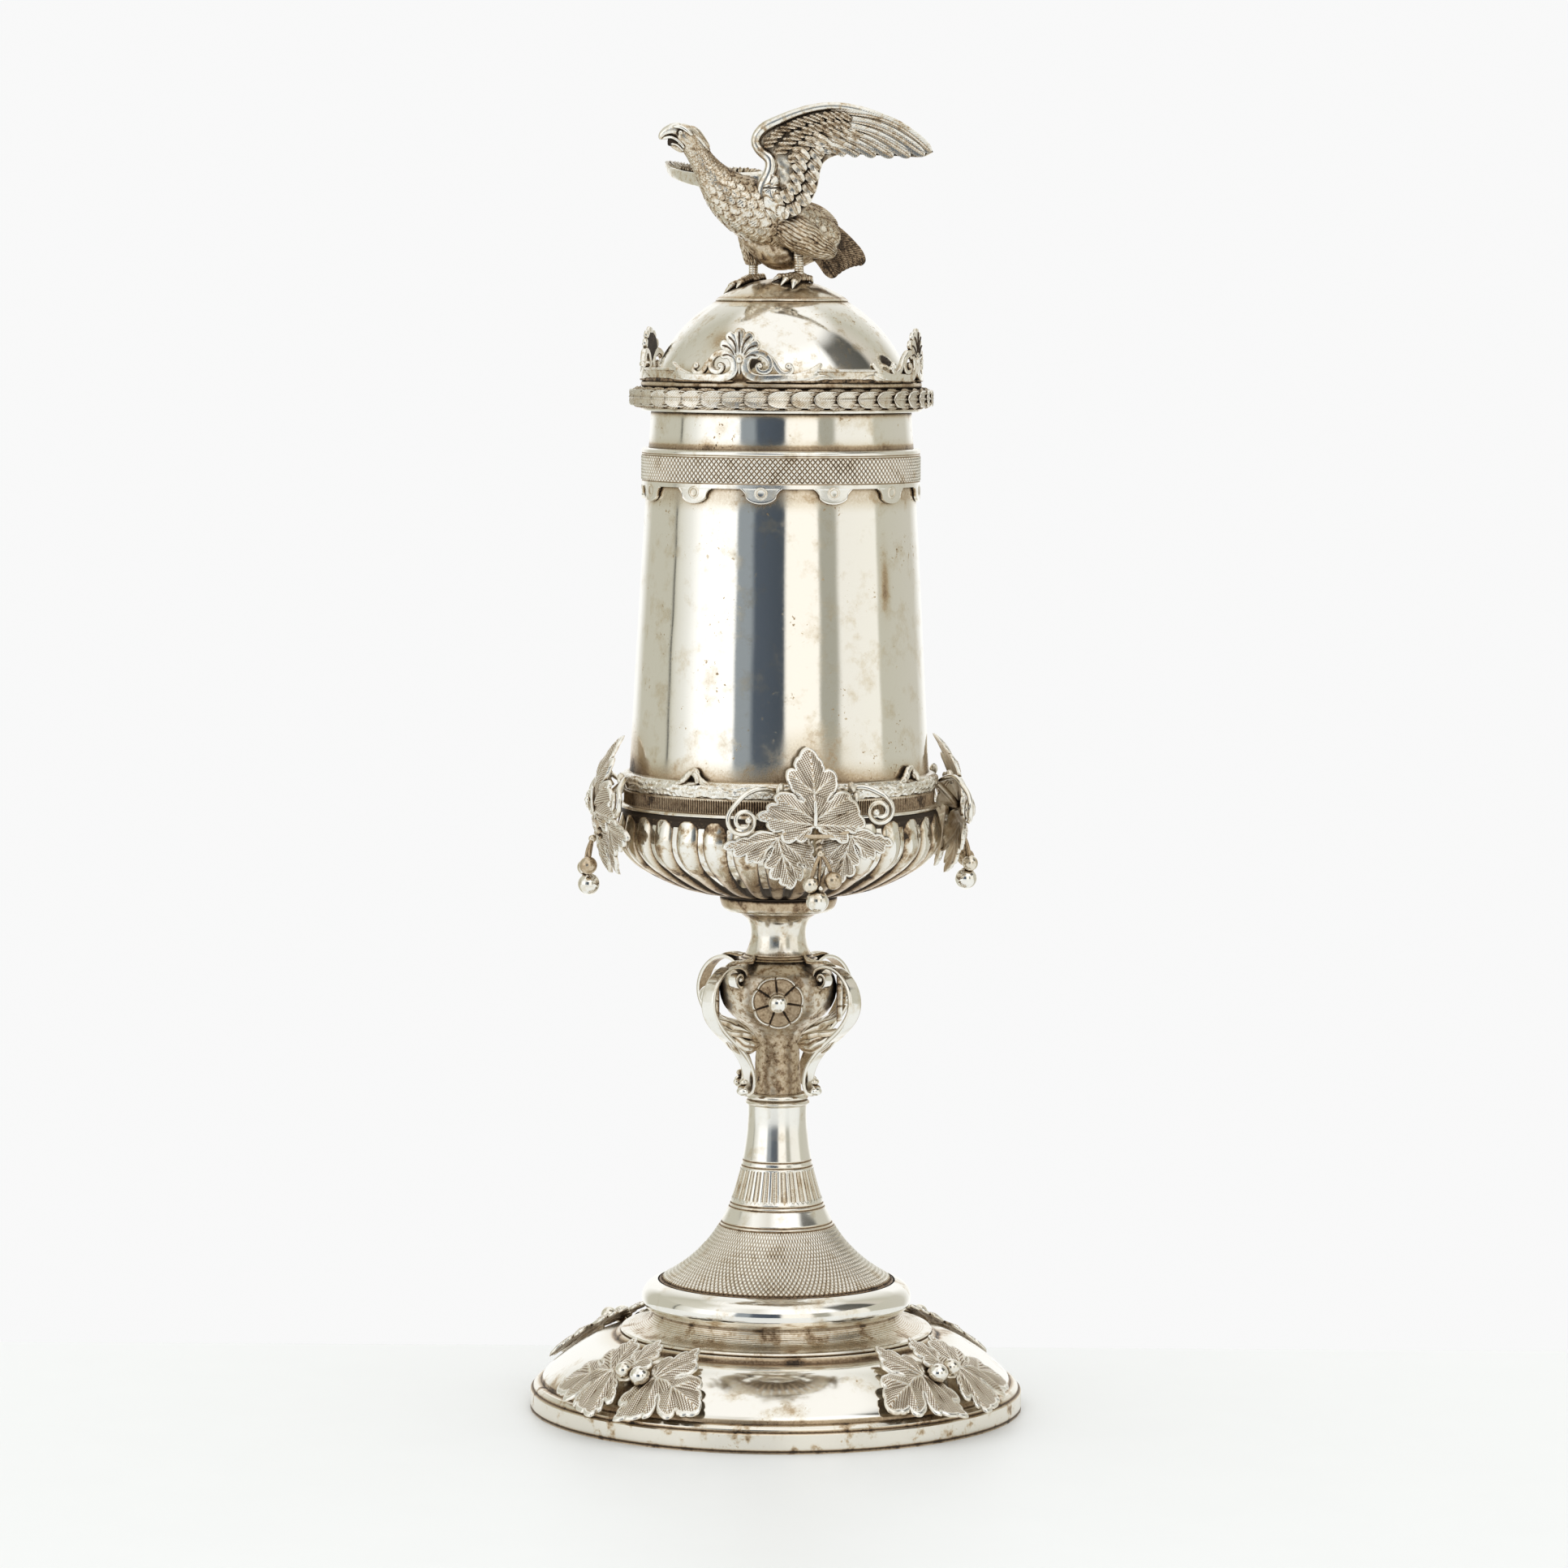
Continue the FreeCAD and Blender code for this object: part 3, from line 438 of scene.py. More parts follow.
def silver(name, polish=0.07, haze=0.05, marks=1.0, recess=1.0, patches=0.35, patch_size=14.0,
        specks=0.0, tone=0.0, grain=0.0, grain_size=0.5, hatch=0.0, mottle=0.0):
    """Worn silver: bright metal, brown film in recesses and in patches, dark specks, fine scratches.

    marks scales the painted dirt and painted shade, recess what gathers in corners, tone darkens it all over,
    mottle adds fine uneven spots, hatch is the strength of the beaded rows on leaves."""
    material, n, where = blank(name)
    # painted dirt, with the painted shade and painted reflection that some pieces carry in the same attribute
    painted = n.add("ShaderNodeAttribute", attribute_name="dirt").outputs["Fac"]
    wide = n.noise(where, 1000 / patch_size, 5, 0.62)
    small = n.noise(where, 1600, 3, 0.6)
    hollow = n.add("ShaderNodeAmbientOcclusion", {"Distance": 2.6 * MM}, samples=6).outputs["AO"]
    hollow = n.remap(n.math("SUBTRACT", 1.0, hollow), 0.12, 0.85)
    film = n.math("MULTIPLY", n.remap(wide, 0.50, 0.72), patches)
    broken = n.math("MULTIPLY_ADD", small, 0.9, 0.55)
    film = n.math("MULTIPLY", film, broken)
    total = n.math("ADD", n.math("MULTIPLY", painted, marks), n.math("MULTIPLY", hollow, recess))
    total = n.math("MULTIPLY", total, broken)
    total = n.math("ADD", n.math("ADD", total, film), tone)
    if mottle:
        uneven = n.remap(n.noise(where, 620, 5, 0.68), 0.46, 0.66)
        total = n.math("ADD", total, n.math("MULTIPLY", uneven, mottle))
    if specks:
        dots = n.remap(n.noise(where, 750, 2, 0.5), 0.63, 0.72)
        gate = n.remap(n.noise(where, 70, 3, 0.6), 0.50, 0.66)
        total = n.math("ADD", total, n.math("MULTIPLY", n.math("MULTIPLY", dots, gate), specks))
    if hatch:
        weave = n.add("ShaderNodeAttribute", attribute_name="hatch").outputs["Vector"]
        weave = n.add("ShaderNodeSeparateXYZ", {0: weave}).outputs
        rows = n.math("SINE", n.math("MULTIPLY", weave["X"], TAU))
        beading = n.math("SINE", n.math("MULTIPLY", weave["Y"], TAU))
        woven = n.math("MULTIPLY", n.remap(rows, -0.95, -0.1), n.remap(beading, -1.0, -0.2, 0.35, 1.0))
        woven = n.math("MULTIPLY", n.math("SUBTRACT", woven, 1.0), weave["Z"])
        total = n.math("ADD", total, n.math("MULTIPLY", woven, -hatch))
    total = n.math("MINIMUM", n.math("MAXIMUM", total, 0.0), 1.0)
    colour = n.colours(total, TARNISH)
    stretched = n.add("ShaderNodeMapping", {"Vector": where, "Scale": (900, 900, 3500)}).outputs[0]
    scratch = n.noise(stretched, 1.0, 2, 0.6)
    dull = n.math("MULTIPLY", total, 0.42)
    rough = n.math("ADD", n.math("ADD", dull, polish), n.math("MULTIPLY", scratch, haze))
    bump = n.add("ShaderNodeBump", {"Height": scratch, "Strength": 0.08, "Distance": 0.05 * MM}).outputs[0]
    if grain:
        beads = n.noise(where, 1000 / grain_size, 1, 0.5)
        inputs = {"Height": beads, "Strength": grain, "Distance": 0.2 * MM, "Normal": bump}
        bump = n.add("ShaderNodeBump", inputs).outputs[0]
    if hatch:
        inputs = {"Height": woven, "Strength": 0.7, "Distance": 0.16 * MM, "Normal": bump}
        bump = n.add("ShaderNodeBump", inputs).outputs[0]
    metallic = n.remap(total, 0.35, 1.0, 1.0, 0.72)
    n.surface({"Base Color": colour, "Metallic": metallic, "Roughness": rough, "Normal": bump})
    return material


MIRROR = silver("mirror_silver", polish=0.045, haze=0.05, patches=0.26, patch_size=8,
    specks=0.60, recess=0.9)
FOOT_SILVER = silver("foot_silver", polish=0.06, haze=0.06, patches=0.55, patch_size=15,
    specks=0.35, recess=0.9)
LID_SILVER = silver("lid_silver", polish=0.05, haze=0.06, patches=0.34, patch_size=5,
    specks=0.6, recess=1.0)
BAND_SILVER = silver("blotched_band_silver", polish=0.09, haze=0.08, patches=0.62,
    patch_size=6, specks=0.5, recess=0.8, tone=0.13)
ENGRAVED = silver("engraved_silver", polish=0.12, haze=0.08, patches=0.25, patch_size=6,
    recess=0.35)
CHASED = silver("chased_silver", polish=0.17, haze=0.10, patches=0.25, patch_size=5,
    recess=1.2, mottle=0.18, grain=0.25, grain_size=0.42)
CAST = silver("cast_silver", polish=0.12, haze=0.10, patches=0.40, patch_size=5,
    recess=1.5, marks=1.15, mottle=0.30, grain=0.10, grain_size=0.6)
BOWL_SILVER = silver("bowl_silver", polish=0.06, haze=0.06, patches=0.75, patch_size=6,
    specks=0.3, recess=1.0, marks=1.2)
OXIDISED = silver("oxidised_silver", polish=0.15, haze=0.12, patches=0.40, patch_size=5,
    recess=1.0, tone=0.14, mottle=0.34)
LEAFY = silver("hatched_silver", polish=0.20, haze=0.10, patches=0.20, patch_size=8,
    recess=0.9, hatch=0.72)
BEADS = silver("berry_silver", polish=0.05, haze=0.05, patches=0.35, patch_size=6,
    specks=0.3, recess=1.1)
STRAPS = silver("strap_silver", polish=0.07, haze=0.07, patches=0.30, patch_size=7,
    specks=0.2, recess=1.0)
SHADED = silver("shaded_silver", polish=0.07, haze=0.10, patches=0.45, patch_size=6,
    recess=0.9, tone=0.10, mottle=0.12)


def gilt():
    """Thin gilding inside the cup and the lid, worn in patches to the silver below."""
    material, n, where = blank("worn_gilding")
    wear = n.remap(n.noise(where, 90, 5, 0.6), 0.44, 0.70)
    colour = n.mix(wear, (0.80, 0.56, 0.24), (0.88, 0.82, 0.68))
    rough = n.remap(n.noise(where, 300, 3), 0.2, 0.8, 0.14, 0.30)
    n.surface({"Base Color": colour, "Metallic": 1.0, "Roughness": rough})
    return material


def steel():
    """Plain steel with a turned grain, for the rod, pins and nuts."""
    material, n, where = blank("turned_steel")
    rings = n.add("ShaderNodeMapping", {"Vector": where, "Scale": (400, 400, 9000)}).outputs[0]
    grain = n.noise(rings, 1.0, 2)
    stain = n.remap(n.noise(where, 260, 4), 0.45, 0.75)
    colour = n.mix(stain, (0.56, 0.56, 0.57), (0.27, 0.24, 0.21))
    rough = n.remap(grain, 0.2, 0.8, 0.24, 0.42)
    bump = n.add("ShaderNodeBump", {"Height": grain, "Strength": 0.3, "Distance": 0.05 * MM}).outputs[0]
    n.surface({"Base Color": colour, "Metallic": 1.0, "Roughness": rough, "Normal": bump})
    return material


GILT = gilt()
STEEL = steel()


def dress(node, material):
    """Gives a CAD node that is shown as it is its material."""
    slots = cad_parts[node].data.materials
    slots.clear()
    slots.append(material)


for node_name in ("tie_rod", "tie_washer", "tie_nut", "finial_pins", "finial_nuts"):
    dress(node_name, STEEL)


# ---- turned shells ------------------------------------------------------------------------

def inner_line(line, wall):
    """The line moved inwards by the wall, run the other way."""
    line = np.array(line, float)
    slope = unit(np.gradient(line, axis=0))
    return (line - wall * np.stack([slope[:, 1], -slope[:, 0]], 1))[::-1]


def grooves(z, heights, width, depth):
    """Height and dirt of lines cut round at some heights."""
    cuts = [bell(z, at, width) for at in heights]
    return sum(-depth * cut for cut in cuts), sum(0.9 * cut for cut in cuts)


def foot_shells():
    band = cornered([(75.0, 0), (FOOT_R, 0), (FOOT_R, 5.7), (76.1, 6.2), (75.6, 6.3), (75.4, 7.2),
        (74.6, 8.0), (73.2, LEDGE_Z), (72.1, LEDGE_Z)])
    under = cornered([(72.1, 7.1), (73.9, 6.8), (75.0, 5.6)])

    def band_marks(r, z, azimuth, run):
        low_line = bell(z, 0.7, 0.28)
        step = bell(z, 6.35, 0.35) + bell(r, 73.0, 0.5)
        return -0.16 * low_line, 0.9 * low_line + 0.7 * step

    piece("foot_base_band", revolved(band, under, 360, band_marks), "base_band", BAND_SILVER, sharp=38)

    line = smooth([(72.9, LEDGE_Z), (72.5, 9.7), (71.1, 11.4), (68.5, 13.6), (65.5, 15.9), (62.4, 18.0),
        (59.0, 20.0), (55.5, 21.4), (51.0, 22.2)])
    lip = cornered([(51.0, 22.2), (50.2, 22.4), (49.9, 23.3), (49.0, DOME_TOP_Z), (45.2, DOME_TOP_Z)],
        0.5)[1:]
    inside = cornered([(45.2, DOME_TOP_Z - SHEET), (48.9, 21.6)], 1.5)
    shell = np.vstack([line, lip])

    def dome_marks(r, z, azimuth, run):
        collar = bell(r, 50.4, 0.45)
        grime = 0.55 * bell(r, 50.4, 0.8) + 0.5 * (z < 9.6) + 0.22 * ramp(r, 58, 51)
        under_vine = bell(from_nearest(azimuth, FOOT_VINE_OFFSET, 4), 0, 11)
        return -0.12 * collar, grime + 0.34 * under_vine * ramp(r, 55, 60) * ramp(r, 73, 70)

    inner = np.vstack([inside, inner_line(line, SHEET)])
    piece("foot_dome_shell", revolved(shell, inner, 360, dome_marks, wobble=0.05, seed=3), "foot_dome",
        FOOT_SILVER, sharp=50)

    line = smooth([(46.6, 25.2), (43.6, 25.8), (40.6, 27.2), (38.9, 29.2), (38.7, SCOTIA_TOP_Z)], 0.2)
    bead = cornered([(45.4, DOME_TOP_Z), (48.2, DOME_TOP_Z), (48.5, 24.6), (48.0, 25.1), (46.6, 25.2)],
        0.3)[:-1]

    def scotia_marks(r, z, azimuth, run):
        fine = 0.05 * np.sin(run * 9.0) + 0.03 * np.sin(run * 23.0 + 1)
        hollow = ramp(r, 47, 44) * 0.16
        return fine * (r < 47), hollow + 0.18 * np.sin(run * 9.0) * (r < 46) + 0.3 * ramp(z, 29.4, 30.8)

    piece("foot_scotia_ring", revolved(np.vstack([bead, line]), inner_line(line, SHEET), 300, scotia_marks),
        "foot_scotia", SHADED, sharp=50)

    line = smooth([(39.4, SCOTIA_TOP_Z), (41.2, 32.2), (41.9, 34.5), (41.3, 36.9), (39.4, 38.9),
        (36.9, TORUS_TOP_Z)], 0.25)
    piece("foot_torus_ring", revolved(line, inner_line(line, SHEET), 300, wobble=0.03, seed=5), "foot_torus",
        FOOT_SILVER, sharp=60)


TRUMPET = [(36.7, TORUS_TOP_Z), (31.1, 43.2), (24.6, 48.6), (20.0, 53.9), (16.85, 59.1), (14.55, 64.2),
    (12.9, 69.3), (11.5, 74.4), (10.35, 79.5), (9.6, 84.6), (9.15, 89.7), (9.1, STEM_TOP_Z)]
BARLEY_ROUND = 136       # barleycorns in one ring
BARLEY_ROWS = 19
FLUTES = 56


def trumpet_marks(r, z, azimuth, run):
    """Barleycorns on the flare, a fluted zone above, and pairs of turned lines between the zones."""
    height, dirt = grooves(z, (39.95, 40.45, 57.3, 58.25, 63.2, 64.3, 75.9, 77.6), width=0.26, depth=0.2)
    barley_end = np.interp(57.0, z[:, 0], run[:, 0])
    row = np.clip((run - 0.9) / (barley_end - 0.9), 0, 1) * BARLEY_ROWS / 2
    turn = azimuth / 360 * BARLEY_ROUND
    cut = np.maximum(np.abs((turn + row) % 1 - 0.5), np.abs((turn - row) % 1 - 0.5)) * 2
    corn = np.clip(1 - cut ** 1.7, 0, 1)
    zone = (run > 0.9) & (z < 57.0)
    pitch = r * TAU / BARLEY_ROUND
    height = height + zone * (0.34 * pitch * np.sqrt(corn) - 0.17 * pitch)
    dirt = dirt + zone * 0.85 * (1 - ramp(corn, 0.05, 0.45))
    turn = azimuth / 360 * FLUTES
    flute = np.abs(turn % 1 - 0.5) * 2
    top = 74.6 + 0.55 * np.sqrt(np.clip(1 - (turn % 1 * 2 - 1) ** 2, 0, 1))
    low = 65.1 + 1.0 * np.abs(turn % 1 * 2 - 1)
    zone = (z < top) & (z > low)
    wavy = 0.05 * np.sin(z * 14) * (np.floor(turn) % 2)
    height = height - zone * (0.05 + 0.20 * flute ** 3 + wavy * (1 - flute))
    dirt = dirt + zone * (0.55 * ramp(flute, 0.62, 1.0) + 0.24 * (np.floor(turn) % 2))
    return height, dirt


def stem_shells():
    line = smooth(TRUMPET, 0.16)
    inner = inner_line(smooth(TRUMPET, 1.5), SHEET)
    piece("trumpet_foot_stem", revolved(line, inner, BARLEY_ROUND * 7, trumpet_marks), "trumpet_stem",
        ENGRAVED)

    ring = smooth([(9.1, STEM_TOP_Z), (9.9, 95.4), (9.5, 96.2), (9.0, 96.4), (9.5, 96.9), (9.6, 97.6),
        (9.1, 98.3), (7.6, RING_TOP_Z)], 0.12)
    core = [(ROD_HOLE_R, RING_TOP_Z), (ROD_HOLE_R, STEM_TOP_Z)]
    piece("stem_bead_ring", revolved(ring, core, 200), "stem_ring", SHADED, sharp=60)

    urn = smooth([(7.6, RING_TOP_Z), (7.2, 101.5), (7.0, 106.0), (6.8, 110.0), (6.7, 113.0), (7.2, 116.0),
        (9.0, 118.6), (11.8, 120.7), (14.4, 122.9), (16.8, 126.0), (18.1, 129.9), (17.9, 133.5),
        (16.0, 136.7), (13.0, 138.7), (11.2, KNOP_TOP_Z)], 0.25)
    core = [(ROD_HOLE_R, KNOP_TOP_Z), (ROD_HOLE_R, RING_TOP_Z)]

    def urn_marks(r, z, azimuth, run):
        uneven = 0.06 * np.sin(azimuth * 0.21 + z * 0.9) * np.sin(z * 1.7 + azimuth * 0.05)
        return uneven, 0.10 + 0.16 * ramp(z, 118.5, 115.5)

    piece("knop_body", revolved(urn, core, 240, urn_marks), "knop_urn", OXIDISED, sharp=60)

    neck = smooth([(12.2, KNOP_TOP_Z), (10.7, 141.3), (9.3, 143.9), (8.55, 147.4), (8.8, 150.6),
        (10.2, 153.2), (13.0, NECK_TOP_Z)], 0.2)
    core = [(ROD_HOLE_R, NECK_TOP_Z), (ROD_HOLE_R, KNOP_TOP_Z)]

    def neck_marks(r, z, azimuth, run):
        height, dirt = grooves(z, (140.9, 141.7), width=0.2, depth=0.15)
        return height, dirt * 0.7 + 0.2 * ramp(z, 143.5, 140.8) + 0.45 * ramp(z, 152.5, 155.0)

    piece("stem_neck_turning", revolved(neck, core, 220, neck_marks), "stem_neck", SHADED, sharp=60)

    saucer = smooth([(13.6, NECK_TOP_Z), (15.4, 155.2), (16.9, 156.0), (17.8, 157.6),
        (17.9, SAUCER_TOP_Z - 0.25), (17.6, SAUCER_TOP_Z)], 0.15)
    core = [(ROD_HOLE_R, SAUCER_TOP_Z), (ROD_HOLE_R, NECK_TOP_Z)]

    def saucer_marks(r, z, azimuth, run):
        return 0, 0.34 * ramp(z, 155.8, 157.2) + 0.3 * ramp(z, 158.6, 159.6)

    piece("stem_saucer_turning", revolved(saucer, core, 220, saucer_marks, wobble=0.03, seed=8),
        "stem_saucer", SHADED, sharp=60)

    plate = smooth([(18.0, SAUCER_TOP_Z), (18.9, 160.1), (19.0, 160.3), (18.9, 160.5), (18.2, BOWL_Z)], 0.08)
    core = [(ROD_HOLE_R, BOWL_Z), (ROD_HOLE_R, SAUCER_TOP_Z)]
    piece("bowl_seat_plate", revolved(plate, core, 200, dirt=0.95), "seat_plate", OXIDISED, sharp=60)


BOWL = [(18.2, BOWL_Z), (23.4, 161.1), (28.6, 162.2), (33.6, 163.9), (38.6, 166.3), (43.6, 169.2),
    (47.6, 172.6), (49.9, 176.8), (50.3, 180.6), (49.6, 184.4), (48.6, BOWL_TOP_Z)]


def gadroon_marks(r, z, azimuth, run):
    """Round-ended lobes that run down the bowl and narrow towards its foot, brown in the hollows between,
    with painted shade that darkens the bowl towards its foot.
    """
    length = run[-1, 0]
    down = length - run
    turn = (azimuth + 0.7) / 360 * GADROONS
    aside = np.abs((turn + 0.5) % 1 - 0.5)
    pitch = TAU * r / GADROONS
    half = (0.455 - 0.10 * ramp(down, 6, 34)) * pitch
    end = 1.4
    head = np.clip((down - end) / 4.2, 0, 1)
    half = half * np.sqrt(np.clip(1 - (1 - head) ** 2, 0, 1)) + 1e-3
    x = np.clip(aside * pitch / half, 0, 1)
    lobe = np.sqrt(np.clip(1 - x ** 2.2, 0, 1))
    depth = 2.1 * ramp(down, end, end + 3.5) * (0.40 + 0.60 * ramp(down, 42, 12))
    inside = (down > end)
    height = -depth * (1 - lobe) * inside - 0.25 * ~inside
    crease = bell(aside * pitch, half, 0.32)
    # the ramp over down is painted shade, darker towards the bowl's foot; the crease and hollow terms are
    # tarnish
    dirt = 0.85 * crease + 0.80 * (1 - lobe) ** 1.1 + 0.42 * ramp(down, 9, 32) + 0.12 * ~inside
    bottom = ramp(run, 0, 2.0)
    return height * bottom, dirt


def bowl_and_wall():
    line = smooth(BOWL, 0.34)
    inner = inner_line(smooth(BOWL, 1.2), SHEET)[:-1]
    floor = [(16.6, BOWL_Z + SHEET), (ROD_HOLE_R, BOWL_Z + SHEET), (ROD_HOLE_R, BOWL_Z)]
    piece("gadrooned_bowl", revolved(line, np.vstack([inner, floor]), GADROONS * 26, gadroon_marks),
        "gadroon_bowl", BOWL_SILVER)

    heights = np.linspace(BOWL_TOP_Z, RIM_Z - 0.35, 150)
    wall = [(cone_r(z), z) for z in heights] + [(cone_r(RIM_Z) - 0.25, RIM_Z)]
    bore = [(cone_r(z) - CUP_SHEET, z) for z in np.linspace(RIM_Z, BOWL_TOP_Z, 40)]

    def wall_marks(r, z, azimuth, run):
        near_vine = 0.42 * ramp(z, 206, 199) + 0.25 * bell(z, 299.5, 1.6)
        near_rim = 0.45 * bell(z, RIM_Z, 1.4)
        # painted shadow under the collar: the wall darkens from just below its hanging tabs up to z 300
        painted_collar_shadow = 0.30 * ramp(z, 279, 284) * (z < 300)
        stain = 0.55 * np.exp(-((azimuth - 47.5) / 2.6) ** 2 - ((z - 259) / 8.0) ** 2)
        climb = 0.4 * bell(from_nearest(azimuth, CLUSTER_OFFSET, 4), 0, 13) * ramp(z, 217, 206)
        return 0, near_vine + near_rim + painted_collar_shadow + stain + climb

    piece("tapered_cup_wall", revolved(wall, bore, 720, wall_marks, wobble=0.035, seed=11), "cup_wall",
        MIRROR, sharp=60)


def cone_r(z):
    """Outside radius of the tapered cup."""
    up = (z - BOWL_TOP_Z) / (RIM_Z - BOWL_TOP_Z)
    return CONE_FOOT_R + (MOUTH_R - CONE_FOOT_R) * up + 0.22 * np.sin(math.pi * up)


REEDS = 372
DIAMONDS = 166


def cup_bands():
    outside = cornered([(cone_r(BOWL_TOP_Z) + FIT, BOWL_TOP_Z), (49.0, BOWL_TOP_Z), (49.25, 188.2),
        (48.9, 188.7), (48.1, 189.1), (48.0, 190.0), (48.0, 192.6), (48.2, 193.2), (48.3, REED_TOP_Z)], 0.3)
    back = [(cone_r(REED_TOP_Z) + FIT, REED_TOP_Z)]

    def reeds(r, z, azimuth, run):
        comb = np.abs(np.sin(math.pi * azimuth / 360 * REEDS))
        zone = ramp(z, 188.9, 189.3) * ramp(z, 193.2, 192.8) * (r > 47.6)
        return zone * (0.42 * comb - 0.42), zone * (0.42 + 0.40 * (1 - comb)) + 0.25 * (z > 193.1)

    piece("reeded_band_strip", revolved(outside, back, REEDS * 6, reeds), "reeded_band", SHADED)
    piece("bark_branch_ring", branch_ring(), "vine_branch_ring", CHASED)
    piece("diamond_turned_collar", collar(), "engine_turned_collar", ENGRAVED, sharp=75)


def branch_ring():
    """A gnarled branch bent round the cup, with four pointed knots that climb its wall."""
    profile = smooth([(cone_r(REED_TOP_Z) + FIT, REED_TOP_Z), (48.3, REED_TOP_Z), (49.1, 194.7),
        (49.3, 196.2), (48.7, 197.7), (47.4, 198.5), (cone_r(BRANCH_TOP_Z) + FIT, BRANCH_TOP_Z)], 0.24)

    def bark(r, z, azimuth, run):
        a = np.radians(azimuth)
        where = around(r, a, z)
        rough = 0.16 * ripple(where, 2.4, 21) + 0.10 * ripple(where, 1.0, 22)
        strands = 0.16 * np.sin(run * 3.4 + 1.2 * np.sin(a * 17) + 0.8 * np.sin(a * 41))
        free = ramp(r, 47.6, 48.6)
        return free * (rough + strands - 0.2), 0.40 * ramp(-(rough + strands), 0.08, 0.34)

    ring = revolved(profile, (), 1500, bark)
    twig = strand([(-6.5, -47.6, 197.4), (-3.0, -47.7, 199.0), (-0.6, -47.4, 201.4), (0.4, -47.3, 201.7),
        (1.5, -47.6, 200.0), (3.4, -47.8, 198.5), (6.0, -47.6, 197.4)], 0.25, 1.05, 14, up=FRONT, start=0.3,
        end=0.3, reach=0.3, dirt=0.12)
    twig = changed(twig, lambda p: p + 0.14 * np.stack([ripple(p, 1.6, seed) for seed in (31, 32, 33)], 1))
    stub = strand([(0.2, -48.0, 201.0), (1.8, -48.6, 199.9), (2.4, -48.8, 198.0)], 0.25, 0.8, 12, up=FRONT,
        dirt=0.1)
    knot = merged(twig, stub)
    return merged(ring, *[about_z(knot, -33 + 90 * k) for k in range(4)])


def collar():
    """Applied strip with diamonds cut by crossing lines and twelve hanging tabs."""
    low, high = 286.9, 298.3
    tip = 282.0
    lip = [(COLLAR_R + 0.02, 296.9), (COLLAR_R + 0.1, 297.4), (COLLAR_R - 0.15, 298.0),
        (COLLAR_R - 0.7, high)]
    outside = np.vstack([
        cornered([(COLLAR_R - 0.1, tip), (COLLAR_R - 0.05, low)], 0.25)[:-1],
        cornered([(COLLAR_R, low), (COLLAR_R, 296.7)], 0.14),
        smooth(lip, 0.12)])
    inside = [(cone_r(z) + FIT, z) for z in (high, low, tip)]
    columns = DIAMONDS * 8
    azimuth = np.linspace(0, 360, columns, endpoint=False)
    x = np.abs(np.radians(from_nearest(azimuth, TAB_OFFSET, TAB_COUNT)) * COLLAR_R)
    tongue = 282.3 + 2.9 * (1 - np.sqrt(np.clip(1 - (x / 4.9) ** 2, 0, 1)))
    shoulder = low - 2.0 * np.clip(1 - (x - 4.55) / 2.1, 0, 1) ** 1.6
    edge = np.where(x < 4.6, np.minimum(tongue, low - 1.7), np.minimum(shoulder, low))

    def marks(r, z, azimuth, run):
        height, dirt = grooves(z, (288.35, 296.15, 296.75), width=0.16, depth=0.14)
        zone = (z > 288.6) & (z < 295.95)
        u = azimuth / 360 * DIAMONDS
        v = (z - 288.6) / 1.84
        first = np.abs((u + v) % 1 - 0.5) * 2
        second = np.abs((u - v) % 1 - 0.5) * 2
        cut = np.maximum(first, second)
        height = height + zone * (0.14 - 0.46 * ramp(cut, 0.45, 1.0))
        dirt = dirt + zone * 0.85 * ramp(cut, 0.66, 0.90)
        d = np.hypot(np.radians(from_nearest(azimuth, TAB_OFFSET, TAB_COUNT)) * COLLAR_R, z - 285.5)
        height = height + 0.16 * bell(d, 1.55, 0.22) - 0.10 * (d < 1.3) * (1 - (d / 1.3) ** 2)
        dirt = dirt + 0.45 * bell(d, 1.25, 0.16) + 0.35 * bell(d, 1.9, 0.14)
        return height, dirt

    shape = revolved(outside, inside, columns, marks)
    points = shape[0].reshape(-1, columns, 3).copy()
    z = points[..., 2]
    fold = z <= low
    share = (z - tip) / (low - tip)
    hung = edge[None, :] + share * (low - edge[None, :])
    points[..., 2] = np.where(fold, hung, z)
    spread = np.where(fold, hung, low)
    rim = bell(spread, edge[None, :], 0.30) * (edge[None, :] < low - 0.2) * fold
    bulge = 1 + 0.16 * rim / COLLAR_R
    points[..., 0] *= bulge
    points[..., 1] *= bulge
    return (points.reshape(-1, 3),) + shape[1:]


# ---- lid shells ---------------------------------------------------------------------------

